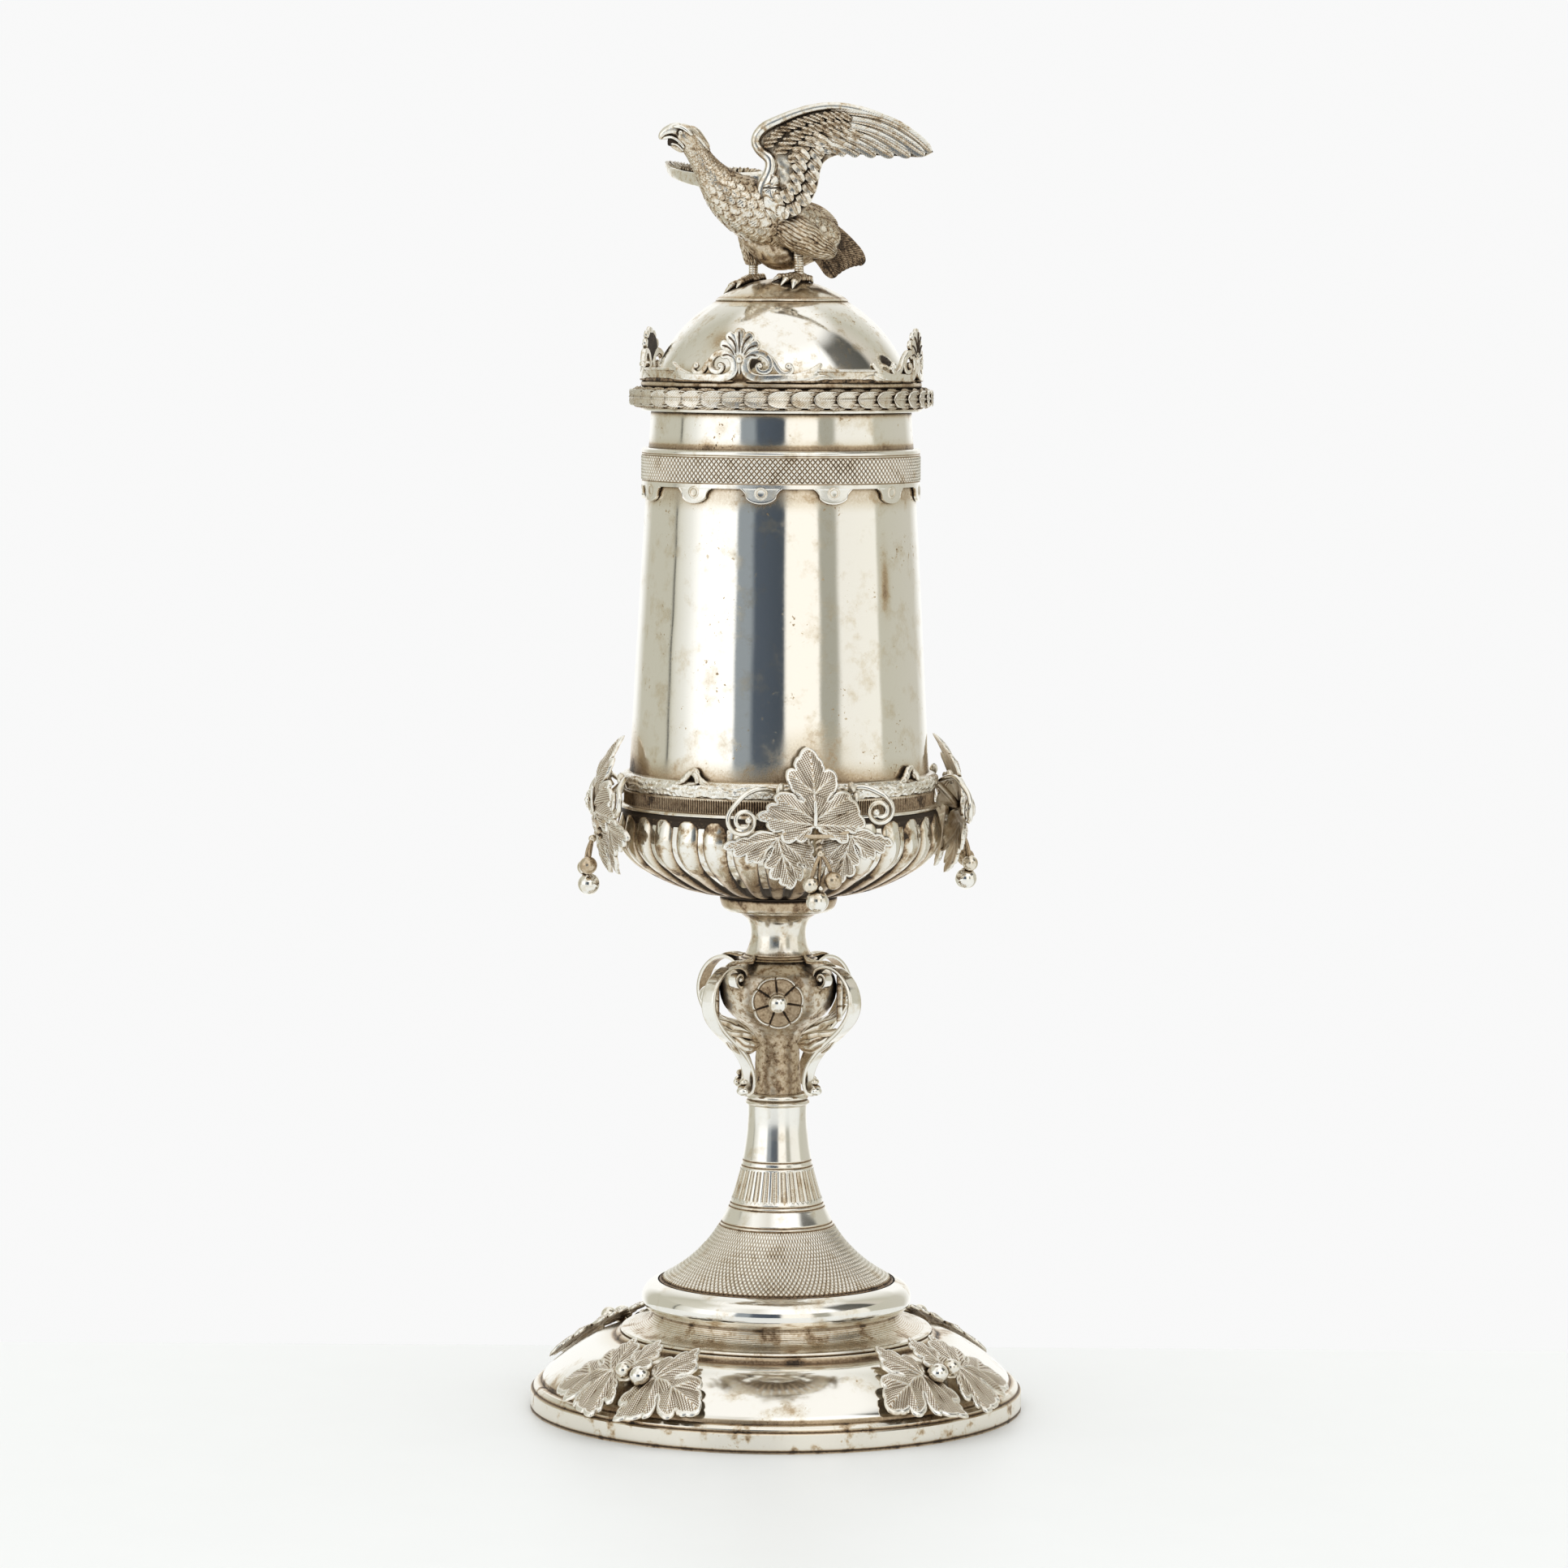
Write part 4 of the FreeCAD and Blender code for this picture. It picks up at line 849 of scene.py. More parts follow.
def lid_shells():
    def arc(radius, low_z, count):
        start = math.asin((low_z - LID_CENTRE_Z) / radius)
        a = np.linspace(start, math.pi / 2 - 0.0006, count)
        return np.stack([radius * np.cos(a), LID_CENTRE_Z + radius * np.sin(a)], 1)

    def dome_marks(r, z, azimuth, run):
        # partly painted reflection and shadow, partly dirt: the lowest band of the dome, behind the crown, is
        # darkened
        low = 0.75 * ramp(z, 324.5, 319.5)
        cap = 0.5 * bell(r, CAP_R, 1.2)
        spot = 0.45 * np.exp(-((azimuth - 326) / 7) ** 2 - ((z - 331.5) / 3.4) ** 2)
        return 0, low + cap + spot

    inner = arc(LID_R - CUP_SHEET, FLANGE_TOP_Z, 60)[::-1]
    shell = revolved(arc(LID_R, FLANGE_TOP_Z, 130), inner, 480, dome_marks, wobble=0.045, seed=14)
    piece("lid_ball_shell", shell, "lid_dome", LID_SILVER, body="lid")

    half = math.asin(CAP_R / CAP_BALL_R)
    a = np.linspace(half, 0.0006, 60)
    top = np.stack([CAP_BALL_R * np.sin(a), CAP_TOP_Z - CAP_BALL_R + CAP_BALL_R * np.cos(a)], 1)
    edge_z = top[0, 1]
    lip = smooth([(CAP_R - 0.6, edge_z - 0.65), (CAP_R + 0.05, edge_z - 0.6), (CAP_R + 0.18, edge_z - 0.3),
        (CAP_R, edge_z)], 0.08)
    b = np.linspace(0.0006, math.asin((CAP_R - 0.7) / (LID_R + 0.01)), 40)
    seat = np.stack([(LID_R + 0.01) * np.sin(b), LID_CENTRE_Z + (LID_R + 0.01) * np.cos(b)], 1)

    def cap_marks(r, z, azimuth, run):
        return 0, 0.16 + 0.3 * bell(r, 3, 9) + 0.3 * bell(r - CAP_R + 0.7, 0, 0.5)

    shape = revolved(np.vstack([lip, top[1:]]), seat, 300, cap_marks, wobble=0.05, seed=15)
    piece("eagle_cap_plate", shape, "cap_plate", LID_SILVER, sharp=60, body="lid")

    flange = smooth([(42.6, RIM_Z), (43.05, 309.75), (43.2, 310.3), (43.05, 310.85), (42.6, FLANGE_TOP_Z)],
        0.08)
    back = cornered([(38.0, FLANGE_TOP_Z), (38.0, RIM_Z)], 0.5)
    piece("lid_flange_plate", revolved(flange, back, 300), "lid_flange", MIRROR, sharp=50, body="lid")

    bezel = cornered([(37.4, 301.6), (38.0, 301.2), (38.6, 301.6), (38.8, 303.0), (38.8, RIM_Z)], 0.5)
    back = cornered([(37.6, RIM_Z), (37.4, 301.6)], 1.0)[:-1]
    piece("lid_bezel_sleeve", revolved(bezel, back, 260, wobble=0.02, seed=16), "lid_bezel", GILT, sharp=40,
        body="lid")

    cross = circle(20)
    a = np.linspace(0, TAU, 361)[:-1]
    wire_r, ring_r = 1.2, 42.0
    centre = around(ring_r, a, WREATH_TOP_Z + wire_r)
    points = centre[:, None] + wire_r * (around(1, a, 0)[:, None] * cross[None, :, :1]
        + np.array([0, 0, 1.0]) * cross[None, :, 1:])
    piece("rim_round_wire", grid(points, True, True, 0.25, flip=True), "rim_wire", SHADED, body="lid")


foot_shells()
stem_shells()
bowl_and_wall()
cup_bands()
lid_shells()


# ---- vine mounts --------------------------------------------------------------------------
# Leaf outlines run clockwise from the tip as seen from in front, in mm from where the stalk joins.

MAIN_LEAF = [(-0.6, 22.9), (2.4, 19.9), (3.7, 17.6), (3.9, 16.3), (6.5, 16.1), (7.5, 13.1), (5.6, 8.6),
    (4.4, 7.4), (8.0, 9.9), (11.4, 9.0), (11.3, 7.8), (14.3, 4.4), (14.5, 2.9), (16.4, -0.9), (13.7, -1.8),
    (13.0, -3.1), (10.3, -2.2), (10.7, -5.4), (9.6, -5.9), (6.5, -4.8), (3.1, -3.1), (1.9, -2.6), (0.8, -1.4),
    (0, -1.0), (-0.6, -1.2), (-1.8, -3.4), (-3.7, -5.5), (-5.6, -4.7), (-8.6, -5.6), (-10.1, -4.3),
    (-9.9, -2.0), (-13.5, -1.6), (-14.4, 0.6), (-17.4, 2.5), (-14.4, 4.4), (-14.1, 5.9), (-11.6, 6.7),
    (-12.0, 8.6), (-8.6, 9.9), (-3.7, 7.4), (-5.6, 9.0), (-7.6, 12.0), (-7.8, 16.1), (-5.4, 16.7),
    (-5.0, 19.0), (-3.7, 20.1)]
MAIN_RIBS = [((0, 0), (-0.4, 22.5)), ((0, 0), (-17.2, 2.6)), ((0, 0), (16.2, -0.8)), ((0, 0), (-8.4, -5.4)),
    ((0, 0), (10.2, -5.6)), ((0, 9.5), (7.2, 15.6)), ((0, 9.5), (-7.6, 15.8)), ((0, 1.5), (-11.8, 8.6)),
    ((0, 1.5), (11.4, 8.9))]
LOWER_LEAF = [(4.9, -16.3), (3.2, -15.2), (1.2, -14.2), (0.9, -12.9), (-1.4, -12.8), (-2.2, -11.8),
    (-2.1, -9.6), (-3.8, -8.9), (-3.4, -6.4), (-1.7, -3.0), (-5.6, -7.9), (-7.3, -7.4), (-9.0, -7.9),
    (-9.6, -5.4), (-12.8, -5.9), (-13.3, -4.0), (-16.2, -3.4), (-15.4, -1.9), (-12.6, -0.7), (-9.0, 0.4),
    (-2.0, 2.0), (4.0, 3.0), (8.4, 2.4), (10.3, -1.6), (11.8, -4.3), (11.0, -5.4), (12.7, -9.8), (9.9, -10.0),
    (8.6, -8.6), (6.9, -8.2), (8.5, -11.2), (7.7, -13.6), (6.6, -13.2)]
LOWER_RIBS = [((0, 0), (4.9, -16.2)), ((0, 0), (12.5, -9.6)), ((0, 0), (-8.0, -8.0)), ((0, 0), (-15.9, -2.8)),
    ((0, 0), (8.0, 2.2)), ((1.6, -5), (-2.6, -11.4)), ((1.6, -5), (8.2, -12.6))]


def spun(points, degrees, scale):
    """Turns flat points clockwise and scales them."""
    c, w = math.cos(math.radians(degrees)), math.sin(math.radians(degrees))
    return [(scale * (x * c + z * w), scale * (z * c - x * w)) for x, z in points]


FOOT_LEAF = spun(MAIN_LEAF, 100, 0.92)
FOOT_RIBS = [spun(rib, 100, 0.92) for rib in MAIN_RIBS]
BACK_LEAF = [(0, 15.2), (1.6, 12.8), (3.6, 12.2), (3.4, 9.8), (5.4, 8.4), (4.4, 5.6), (6.2, 4.0), (4.4, 1.6),
    (3.4, -1.4), (0.4, -2.6), (-3.4, -1.4), (-4.4, 1.6), (-6.2, 4.0), (-4.4, 5.6), (-5.4, 8.4), (-3.4, 9.8),
    (-3.6, 12.2), (-1.6, 12.8)]
BACK_RIBS = [((0, 0), (0, 15.0)), ((0, 3), (5.2, 8.2)), ((0, 3), (-5.2, 8.2))]


# ---- feathers and leaves ------------------------------------------------------------------

def lapped(u, girth, spread=0.8):
    """Overlapping round scales over (rows, places round a row): height from 0 to 1, and dirt."""
    row = np.floor(u)
    here = (girth + 0.5 * (row % 2)) % 1 - 0.5
    before = (girth + 0.5 * ((row + 1) % 2)) % 1 - 0.5
    along = u - row
    reach = 1 + spread * np.sqrt(np.clip(1 - (2 * before) ** 2, 0, 1))
    covered = along + 1 < reach
    tip = np.where(covered, (along + 1) / reach, along / (1 + spread))
    gap = bell(along + 1, reach, 0.16) * ~covered
    middle = np.where(covered, before, here)
    shaft = bell(middle, 0, 0.07)
    return tip + 0.15 * shaft, 0.8 * gap + 0.18 * np.abs(middle)


def plumed(stations, pattern, sides=150, step=0.16):
    """A round body through (x, y, z, radius) stations, raised by a pattern of (run, angle, radius)."""
    data = smooth(stations, step)
    path, radius = data[:, :3], np.maximum(data[:, 3:], 0.15)
    run = np.concatenate([[0], np.cumsum(np.linalg.norm(np.diff(path, axis=0), axis=1))])[:, None]
    angle = np.linspace(0, TAU, sides, endpoint=False)[None, :]
    height, dirt = pattern(run, angle, radius)
    ends = tapered(len(path), 0.05, 0.05, 0.04)[:, None]
    return swept(path, circle(sides), (radius + height) * ends, dirt=np.clip(dirt, 0, 1))


def feather(points, half, thick=0.5, up=FRONT, barbs=1.0, dirt=0.12, blunt=0.22, start=0.45, step=0.28,
        spine=0.35):
    """One feather along a line: a dished vane with a raised shaft, a rolled edge and slanting barbs."""
    path = smooth(points, step)
    n = len(path)
    x = np.linspace(1, -1, 25)
    face = 0.45 + 0.35 * x ** 2 + 0.55 * bell(x, 0, 0.13)
    low = x[::-4]
    section = np.vstack([np.stack([x, face], 1), np.stack([low, -0.5 + 0 * low], 1)])
    run = np.arange(n)[:, None] * step
    slant = np.abs(section[None, :, 0]) * half * 1.1
    cut = np.sin(TAU * (run - slant) / 0.85) * (np.abs(section[None, :, 0]) < 0.93)
    top = np.concatenate([np.ones(len(x)), np.zeros(len(low))])[None, :]
    width = half * tapered(n, start, 0.12, blunt)
    depth = thick * tapered(n, 0.6, 0.35, 0.2)[:, None] * (1 + 0.12 * barbs * cut * top)
    marks = dirt + 0.30 * barbs * ramp(-cut, 0.2, 1.0) * top
    marks = marks + spine * bell(np.abs(section[:, 0]), 0.2, 0.08)
    return swept(path, section, np.repeat(width[:, None], len(section), 1), depth, up=up,
        dirt=np.clip(marks + 0 * run, 0, 1))


def leaf(outline, ribs, thick=0.75, puff=0.75, dirt=0.04):
    """A cast leaf in the XZ plane: puffed lobes with ribs, beds of beaded rows and a raised bright edge."""
    corners = np.array(outline, float)
    ahead = np.roll(corners, -1, axis=0) - corners
    if np.cross(corners, np.roll(corners, -1, axis=0)).sum() > 0:
        corners = corners[::-1]
        ahead = np.roll(corners, -1, axis=0) - corners
    t = np.linspace(0, 1, 8, endpoint=False)[None, :, None]
    bulge = 0.14 * np.stack([-ahead[:, 1], ahead[:, 0]], 1)
    edge = (corners[:, None] + ahead[:, None] * t + bulge[:, None] * np.sin(math.pi * t)).reshape(-1, 2)
    s = 1 - (1 - np.linspace(0.01, 1, 52)) ** 1.3
    flat = s[:, None, None] * edge
    near = np.array([np.linalg.norm(row[:, None] - edge[None], axis=2).min(1) for row in flat])
    best = np.full(near.shape, 1e3)
    second, across, along, left = best.copy(), best.copy(), best.copy(), best.copy()
    for start, end in ribs:
        start = np.array(start, float)
        length = np.linalg.norm(end - start)
        axis = (end - start) / length
        a = (flat - start) @ axis
        c = np.abs((flat - start) @ np.array([axis[1], -axis[0]]))
        gap = c + 2.0 * np.clip(-a, 0, None) + 0.5 * np.clip(a - length, 0, None)
        closer = gap < best
        second = np.where(closer, best, np.minimum(second, gap))
        across, along = np.where(closer, c, across), np.where(closer, a, along)
        left = np.where(closer, np.clip(1 - a / length, 0, 1), left)
        best = np.minimum(best, gap)
    valley = bell(second, best, 2.2) * ramp(near, 0.1, 1.2)
    rib = bell(across, 0, 0.34) * (0.2 + 0.8 * left) * ramp(near, 0.2, 1.0)
    rim = bell(near, 0.42, 0.30)
    height = puff * (1 - 0.62 * valley) * ramp(near, 0, 2.6)
    height = height + 0.28 * rib + 0.22 * rim - 0.3 * bell(near, 0, 0.14)
    beside = bell(across, 0.7, 0.25) * ramp(near, 0.6, 1.4)
    grime = np.clip(dirt + 0.10 * valley + 0.06 * beside - 0.4 * rim - 0.4 * rib, 0, 1)
    bed = ramp(near, 0.6, 1.0) * (1 - rib)
    marks = np.stack([grime, (across - 0.42 * along) / 0.72, (along + 0.42 * across) / 0.62, bed], -1)
    rear = np.round(np.linspace(len(s) - 1, 0, 13)).astype(int)
    front = np.stack([flat[..., 0], -height, flat[..., 1]], -1)
    back = np.stack([flat[rear, :, 0], thick - 0.6 * height[rear], flat[rear, :, 1]], -1)
    back_marks = marks[rear] * np.array([1, 1, 1, 0]) + np.array([0.3, 0, 0, 0])
    return grid(np.vstack([front, back]), wrap_columns=True, dirt=np.vstack([marks, back_marks]))


def bud(centre, lean, size=1.0):
    """A small scaly bud."""
    shape = ball((0, 0, 0), 1.25 * size, (0.95, 0.95, 1.45), 48, 0.15)

    def scaly(p):
        turn = np.arctan2(p[:, 0], p[:, 1]) / TAU * 9
        return p * (1 + 0.07 * np.sin(TAU * turn + p[:, 2] * 4)[:, None] * np.sin(p[:, 2:] * 6))
    return shifted(turned(changed(shape, scaly), (0, 1, 0), lean), centre)


def cup_clusters():
    def bent(p):
        out = p.copy()
        out[:, 1] += 0.021 * np.clip(p[:, 2] - 3, 0, None) ** 2 + 0.011 * p[:, 0] ** 2
        out[:, 1] += 0.05 * np.clip(-p[:, 2], 0, None)
        return out

    def hung(p):
        out = p.copy()
        out[:, 1] += 0.010 * p[:, 0] ** 2 + 0.02 * np.clip(-p[:, 2] - 8, 0, None) ** 2
        return out

    main = shifted(changed(leaf(MAIN_LEAF, MAIN_RIBS), bent), (-1.1, -57.4, 187.0))
    lower = changed(leaf(LOWER_LEAF, LOWER_RIBS, puff=0.9), hung)
    left = shifted(turned(lower, (1, 0, 0), 6), (-12.0, -55.0, 183.0))
    right = shifted(changed(turned(mirrored(lower), (1, 0, 0), 6), lambda p: p * np.array([0.86, 1, 0.98])),
        (10.4, -55.0, 183.4))
    rib = strand([(-1.1, -58.0, 186.4), (-1.1, -58.4, 189.5), (-1.2, -58.2, 194.5)], 0.3, 0.62, 14, end=0.3)
    stalk = strand([(-1.0, -47.5, 196.4), (-1.0, -53.0, 191.4), (-1.0, -57.0, 186.6)], 0.4, 1.1, 16, dirt=0.3)
    cross = strand([(-12.4, -55.4, 184.6), (-5.0, -56.6, 183.8), (3.4, -56.6, 183.6), (10.6, -55.4, 185.0)],
        0.4, 0.85, 14, dirt=0.4)
    coil = [(0.6 * math.sin(a) + 0.3, -56.4 + 0.5 * math.cos(a), 183.2 - a * 0.33)
        for a in np.linspace(0, 15, 60)]
    hanging = wire(np.array(coil), 0.55, 12, dirt=0.35)
    buds = [bud((-10.6, -51.6, 197.4), 18), bud((-9.4, -52.2, 195.8), 60, 0.8),
        bud((11.4, -51.8, 197.6), -16), bud((12.6, -52.0, 194.8), 10, 0.9)]
    twig = strand([(-8.6, -50.4, 194.0), (-9.8, -51.4, 196.0), (-10.4, -51.6, 197.2)], 0.3, 0.5, 10, dirt=0.4)
    other = strand([(9.6, -50.4, 193.4), (10.8, -51.4, 195.4), (11.3, -51.8, 197.0)], 0.3, 0.5, 10, dirt=0.4)
    leaves = merged(main, left, right, rib, stalk, cross, hanging, twig, other, *buds)

    def tendril(lead, centre, start, clockwise, turns, outer):
        flat = spiral(centre, 1.25, outer, turns, start, 110, clockwise)
        curl = np.stack([flat[:, 0], np.linspace(-54.2, -56.4, len(flat)), flat[:, 1]], 1)
        path = smooth(np.vstack([lead, curl[::5]]), 0.25)
        bar = wire(path, (0.86, 0.68), 14, up=FRONT, dirt=0.05)
        return merged(bar, ball(path[-1], 1.0, sides=28))

    curl_left = tendril([(-8.0, -48.6, 195.4), (-12.5, -49.8, 196.8), (-17.0, -51.4, 197.5),
        (-21.5, -52.6, 195.9)], (-22.6, 188.2), 128, False, 1.75, 4.9)
    curl_right = tendril([(8.0, -49.0, 194.6), (11.6, -50.4, 197.0), (15.4, -51.6, 197.6),
        (18.4, -52.8, 196.6)], (19.3, 190.8), 62, True, 1.7, 4.5)

    berries = [ball((x, y, z), r, sides=56, dirt=d) for x, y, z, r, d in ((-2.9, -60.3, 169.3, 2.45, 0.22),
        (3.8, -60.5, 170.5, 2.75, 0.40), (-0.7, -59.5, 164.3, 3.4, 0.0), (-0.2, -61.6, 168.4, 0.75, 0.0),
        (0.4, -58.6, 178.4, 1.2, 0.3))]
    for x, z in ((-2.9, 169.3), (3.8, 170.5), (-0.7, 164.3)):
        berries.append(strand([(x, -60.0, z), (x * 0.6, -59.8, z + 5), (0.4, -58.6, 178.4)], 0.4, 0.6, 10,
            dirt=0.5))
    bunch = merged(*berries)
    for k, side in enumerate(SIDES):
        azimuth = CLUSTER_OFFSET + 90 * k
        piece("cup_vine_leaves_" + side, about_z(leaves, azimuth), "vine_leaves_" + side, LEAFY, sharp=58)
        piece("cup_vine_berries_" + side, about_z(bunch, azimuth), "vine_berries_" + side, BEADS)
    rings = [about_z(merged(curl_left, curl_right), CLUSTER_OFFSET + 90 * k) for k in range(4)]
    piece("cup_vine_tendrils", merged(*rings), "vine_tendrils", STRAPS)


# Height at which the foot's leaves lie over the dome, by distance from the axis.
FOOT_REST = [(44, 26.4), (51, 25.0), (57, 23.2), (62.4, 21.1), (67.6, 18.2), (72, 14.9), (75, 12.2),
    (78, 9.8), (82, 8.0)]


def foot_clusters():
    radii, heights = np.array(FOOT_REST).T

    def laid(across, out):
        """Lays a leaf on the dome, its tip's way inwards, with its stalk at a place across and out."""
        def place(p):
            x = p[:, 0] + across
            r = out - p[:, 2]
            away = np.hypot(x, r)
            curl = 0.7 * np.sin(p[:, 0] * 0.25) + 0.012 * p[:, 2] ** 2 * (p[:, 2] > 0)
            return np.stack([x, -r, np.interp(away, radii, heights) - p[:, 1] * 0.9 + curl * 0.6], 1)
        return place

    broad = leaf(FOOT_LEAF, FOOT_RIBS, puff=0.9)
    right = changed(broad, laid(8.0, 66.0))
    left = mirrored(right)
    back = changed(leaf(BACK_LEAF, BACK_RIBS), laid(0.0, 66.5))
    back = changed(back, lambda p: p + np.array([-2.0, 0, 0.9])
        + 0.05 * np.clip(-56 - p[:, 1:2], -9, 0) * [[1.0, 0, 0]])
    root = strand([(0, -62.0, 17.0), (0, -65.0, 19.5), (2.5, -67.5, 20.4), (7.0, -66.5, 19.8)], 0.4, 1.2, 14,
        dirt=0.35)
    other = strand([(0.5, -66.5, 20.2), (-4.0, -67.0, 20.2), (-7.5, -66.5, 19.6)], 0.4, 1.0, 12, dirt=0.35)
    leaves = merged(right, left, back, root, other)
    stem = strand([(5.0, -69.2, 19.6), (2.0, -68.2, 19.4), (-1.8, -68.6, 20.0)], 0.4, 0.7, 10, dirt=0.5)
    berries = merged(ball((5.0, -69.2, 19.6), 3.0, sides=56),
        ball((-1.8, -68.6, 20.4), 2.65, sides=56, dirt=0.1), stem)
    bunches = []
    for k, side in enumerate(SIDES):
        azimuth = FOOT_VINE_OFFSET + 90 * k
        hand = mirrored if k % 2 == 0 else (lambda shape: shape)
        piece("foot_vine_leaves_" + side, about_z(hand(leaves), azimuth), "foot_leaves_" + side, LEAFY,
            sharp=58)
        bunches.append(about_z(hand(berries), azimuth))
    piece("foot_vine_berries", merged(*bunches), "foot_berries", BEADS)


# ---- knop fittings ------------------------------------------------------------------------

ROSETTE_Z = 128.8
ROSETTE_R = 8.3
PETALS = 7


def rosettes():
    a = np.linspace(0, TAU, 420, endpoint=False)
    turn = a / TAU * PETALS + 0.11
    edge = ROSETTE_R * (0.93 + 0.07 * np.sqrt(np.abs(np.sin(math.pi * turn))))
    s = np.linspace(0.002, 1, 70)
    rho = s[:, None] * edge
    seam = (0.5 - np.abs(turn % 1 - 0.5))[None, :] * rho * TAU / PETALS
    cut = bell(seam, 0, 0.26) * ramp(rho, 2.6, 3.2)
    rim = bell(edge - rho, 0.55, 0.42)
    ring = bell(rho, 2.9, 0.35)
    height = 0.15 + 0.55 * (rho / ROSETTE_R) ** 2 + 0.75 * rim - 0.40 * cut + 0.4 * ring + 0.35 * (rho < 2.7)
    height = height - 0.7 * bell(edge, rho, 0.12)
    grime = np.clip(0.50 + 0.5 * cut - 0.9 * rim * (1 - 0.85 * cut) - 0.3 * ring, 0, 1)
    front = np.stack([rho * np.sin(a), -18.6 - height, ROSETTE_Z + rho * np.cos(a)], -1)
    rear_rho = np.linspace(1, 0.02, 8)[:, None] * edge
    back = np.stack([rear_rho * np.sin(a), -18.2 + 0 * rear_rho, ROSETTE_Z + rear_rho * np.cos(a)], -1)
    dirt = np.vstack([grime, np.full(rear_rho.shape, 0.8)])
    flower = grid(np.vstack([front, back]), wrap_columns=True, dirt=dirt)
    four("rosette_flower_", flower, 0, "rosette_", CHASED, sharp=70, slot="oxidised_silver")
    neck = wire([(0, -19.2, ROSETTE_Z), (0, -19.8, ROSETTE_Z), (0, -20.2, ROSETTE_Z)], 2.1, 24, dirt=0.7)
    stud = merged(ball((0, -21.5, ROSETTE_Z), 3.0, sides=56), neck)
    piece("rosette_ball_studs", merged(*[about_z(stud, 90 * k) for k in range(4)]), "rosette_studs", BEADS)


def bar_section(corner=0.25, count=6):
    """Half-size 1 by 1 rectangle with rounded corners."""
    out = []
    for cx, cy, start in ((1, 1, 0), (-1, 1, 90), (-1, -1, 180), (1, -1, 270)):
        for d in np.linspace(start, start + 90, count):
            out.append(((1 - corner) * cx + corner * math.cos(math.radians(d)),
                (1 - corner) * cy + corner * math.sin(math.radians(d))))
    return np.array(out)


BRACKET_RUN = [(18.6, 138.7), (24.0, 138.9), (28.4, 136.2), (31.2, 131.6), (31.4, 127.0), (29.3, 122.8),
    (25.4, 118.9), (20.6, 115.2), (16.5, 111.4), (13.7, 107.3), (12.6, 103.6), (13.0, 100.9)]


def brackets():
    def upright(points):
        points = np.array(points, float)
        return np.stack([0 * points[:, 0], -points[:, 0], points[:, 1]], 1)

    curl = spiral((18.7, 135.3), 0.9, 3.5, 1.35, 92, 26)[::-1]
    foot = [(13.7, 99.7), (15.0, 99.3), (16.2, 100.0), (16.3, 101.3), (15.3, 102.1)]
    path = smooth(upright(np.vstack([curl[:-1], BRACKET_RUN[1:], foot])), 0.3)
    run = np.linspace(0, 1, len(path))
    width = np.interp(run, [0, 0.2, 0.34, 0.55, 0.68, 0.9, 1], [1.6, 1.9, 2.2, 2.75, 2.3, 2.2, 1.3])
    thick = np.interp(run, [0, 0.2, 0.4, 0.9, 1], [0.42, 0.55, 0.72, 0.70, 0.45])
    section = bar_section(0.3)
    outer = section[:, 0] > 0.9
    dirt = np.where(outer, 0.0, np.where(section[:, 0] < -0.9, 0.55, 0.10))
    strap = swept(path, section, thick * tapered(len(path), 0.4, 0.4, 0.02), width, up=(1, 0, 0), dirt=dirt)
    eye = [ball((0, -18.7, 135.3), 1.15, (1.9, 1, 1), 30, 0.05),
        ball((0, -16.1, 100.3), 1.45, (1.5, 1, 1), 36), ball((0, -15.6, 103.2), 1.05, (1.4, 1, 1), 30, 0.2)]

    def blade(points, half, deep, veins, dip=0.0):
        """An acanthus leaf: a tapering blade with veins cut along it and a scalloped edge that may dip."""
        line = smooth(upright(points), 0.16)
        t = np.linspace(0, 1, len(line))
        x = np.linspace(1, -1, 49)
        vein = np.cos(x * math.pi * veins)
        top = np.stack([-0.55 - 0.45 * np.sqrt(1 - x ** 2 * 0.9) - 0.22 * vein, x], 1)
        low = np.stack([0.5 + 0 * x[::-4], x[::-4]], 1)
        full = np.interp(t, [0, 0.12, 0.45, 0.75, 1], [0.30, 0.55, 0.85, 1.0, 0.08])
        scallop = 1 + 0.07 * np.abs(np.sin(t * math.pi * 5))
        marks = 0.12 + 0.55 * np.concatenate([ramp(-vein, 0.2, 1), np.full(len(low), 0.6)])
        shape = swept(line, np.vstack([top, low]), deep * (0.4 + 0.6 * full), half * full * scallop,
            up=(1, 0, 0), dirt=marks)
        return changed(shape, lambda p: p + np.array([0, dip, dip]) * (p[:, :1] / half) ** 2)

    acanthus = blade([(30.6, 125.4), (28.4, 121.6), (24.6, 119.4), (19.0, 118.6), (13.5, 117.2),
        (9.4, 115.0)], 3.0, 1.0, 4, -0.5)

    def folds(run, angle, radius):
        line = np.sin(angle * 8 + 0.5 * np.sin(run))
        return 0.16 * radius / 3 * line, 0.12 + 0.5 * ramp(-line, 0.1, 1.0)

    under = plumed([(0, -25.0, 120.0, 0.9), (0, -21.6, 117.7, 2.3), (0, -17.0, 115.2, 3.3),
        (0, -12.6, 114.3, 2.5), (0, -9.6, 114.3, 1.2), (0, -8.3, 114.5, 0.4)], folds, 90, 0.2)
    sprig = blade([(23.5, 139.4), (19.5, 140.4), (15.6, 140.2), (12.6, 140.6), (10.6, 142.2)], 2.0, 0.6, 3)
    whole = merged(strap, acanthus, under, sprig, *eye)
    four("scroll_strap_", whole, BRACKET_OFFSET, "scroll_bracket_", STRAPS, sharp=50)


# ---- wreath and crown of the lid -----------------------------------------------------------

WREATH_LEAVES = 41


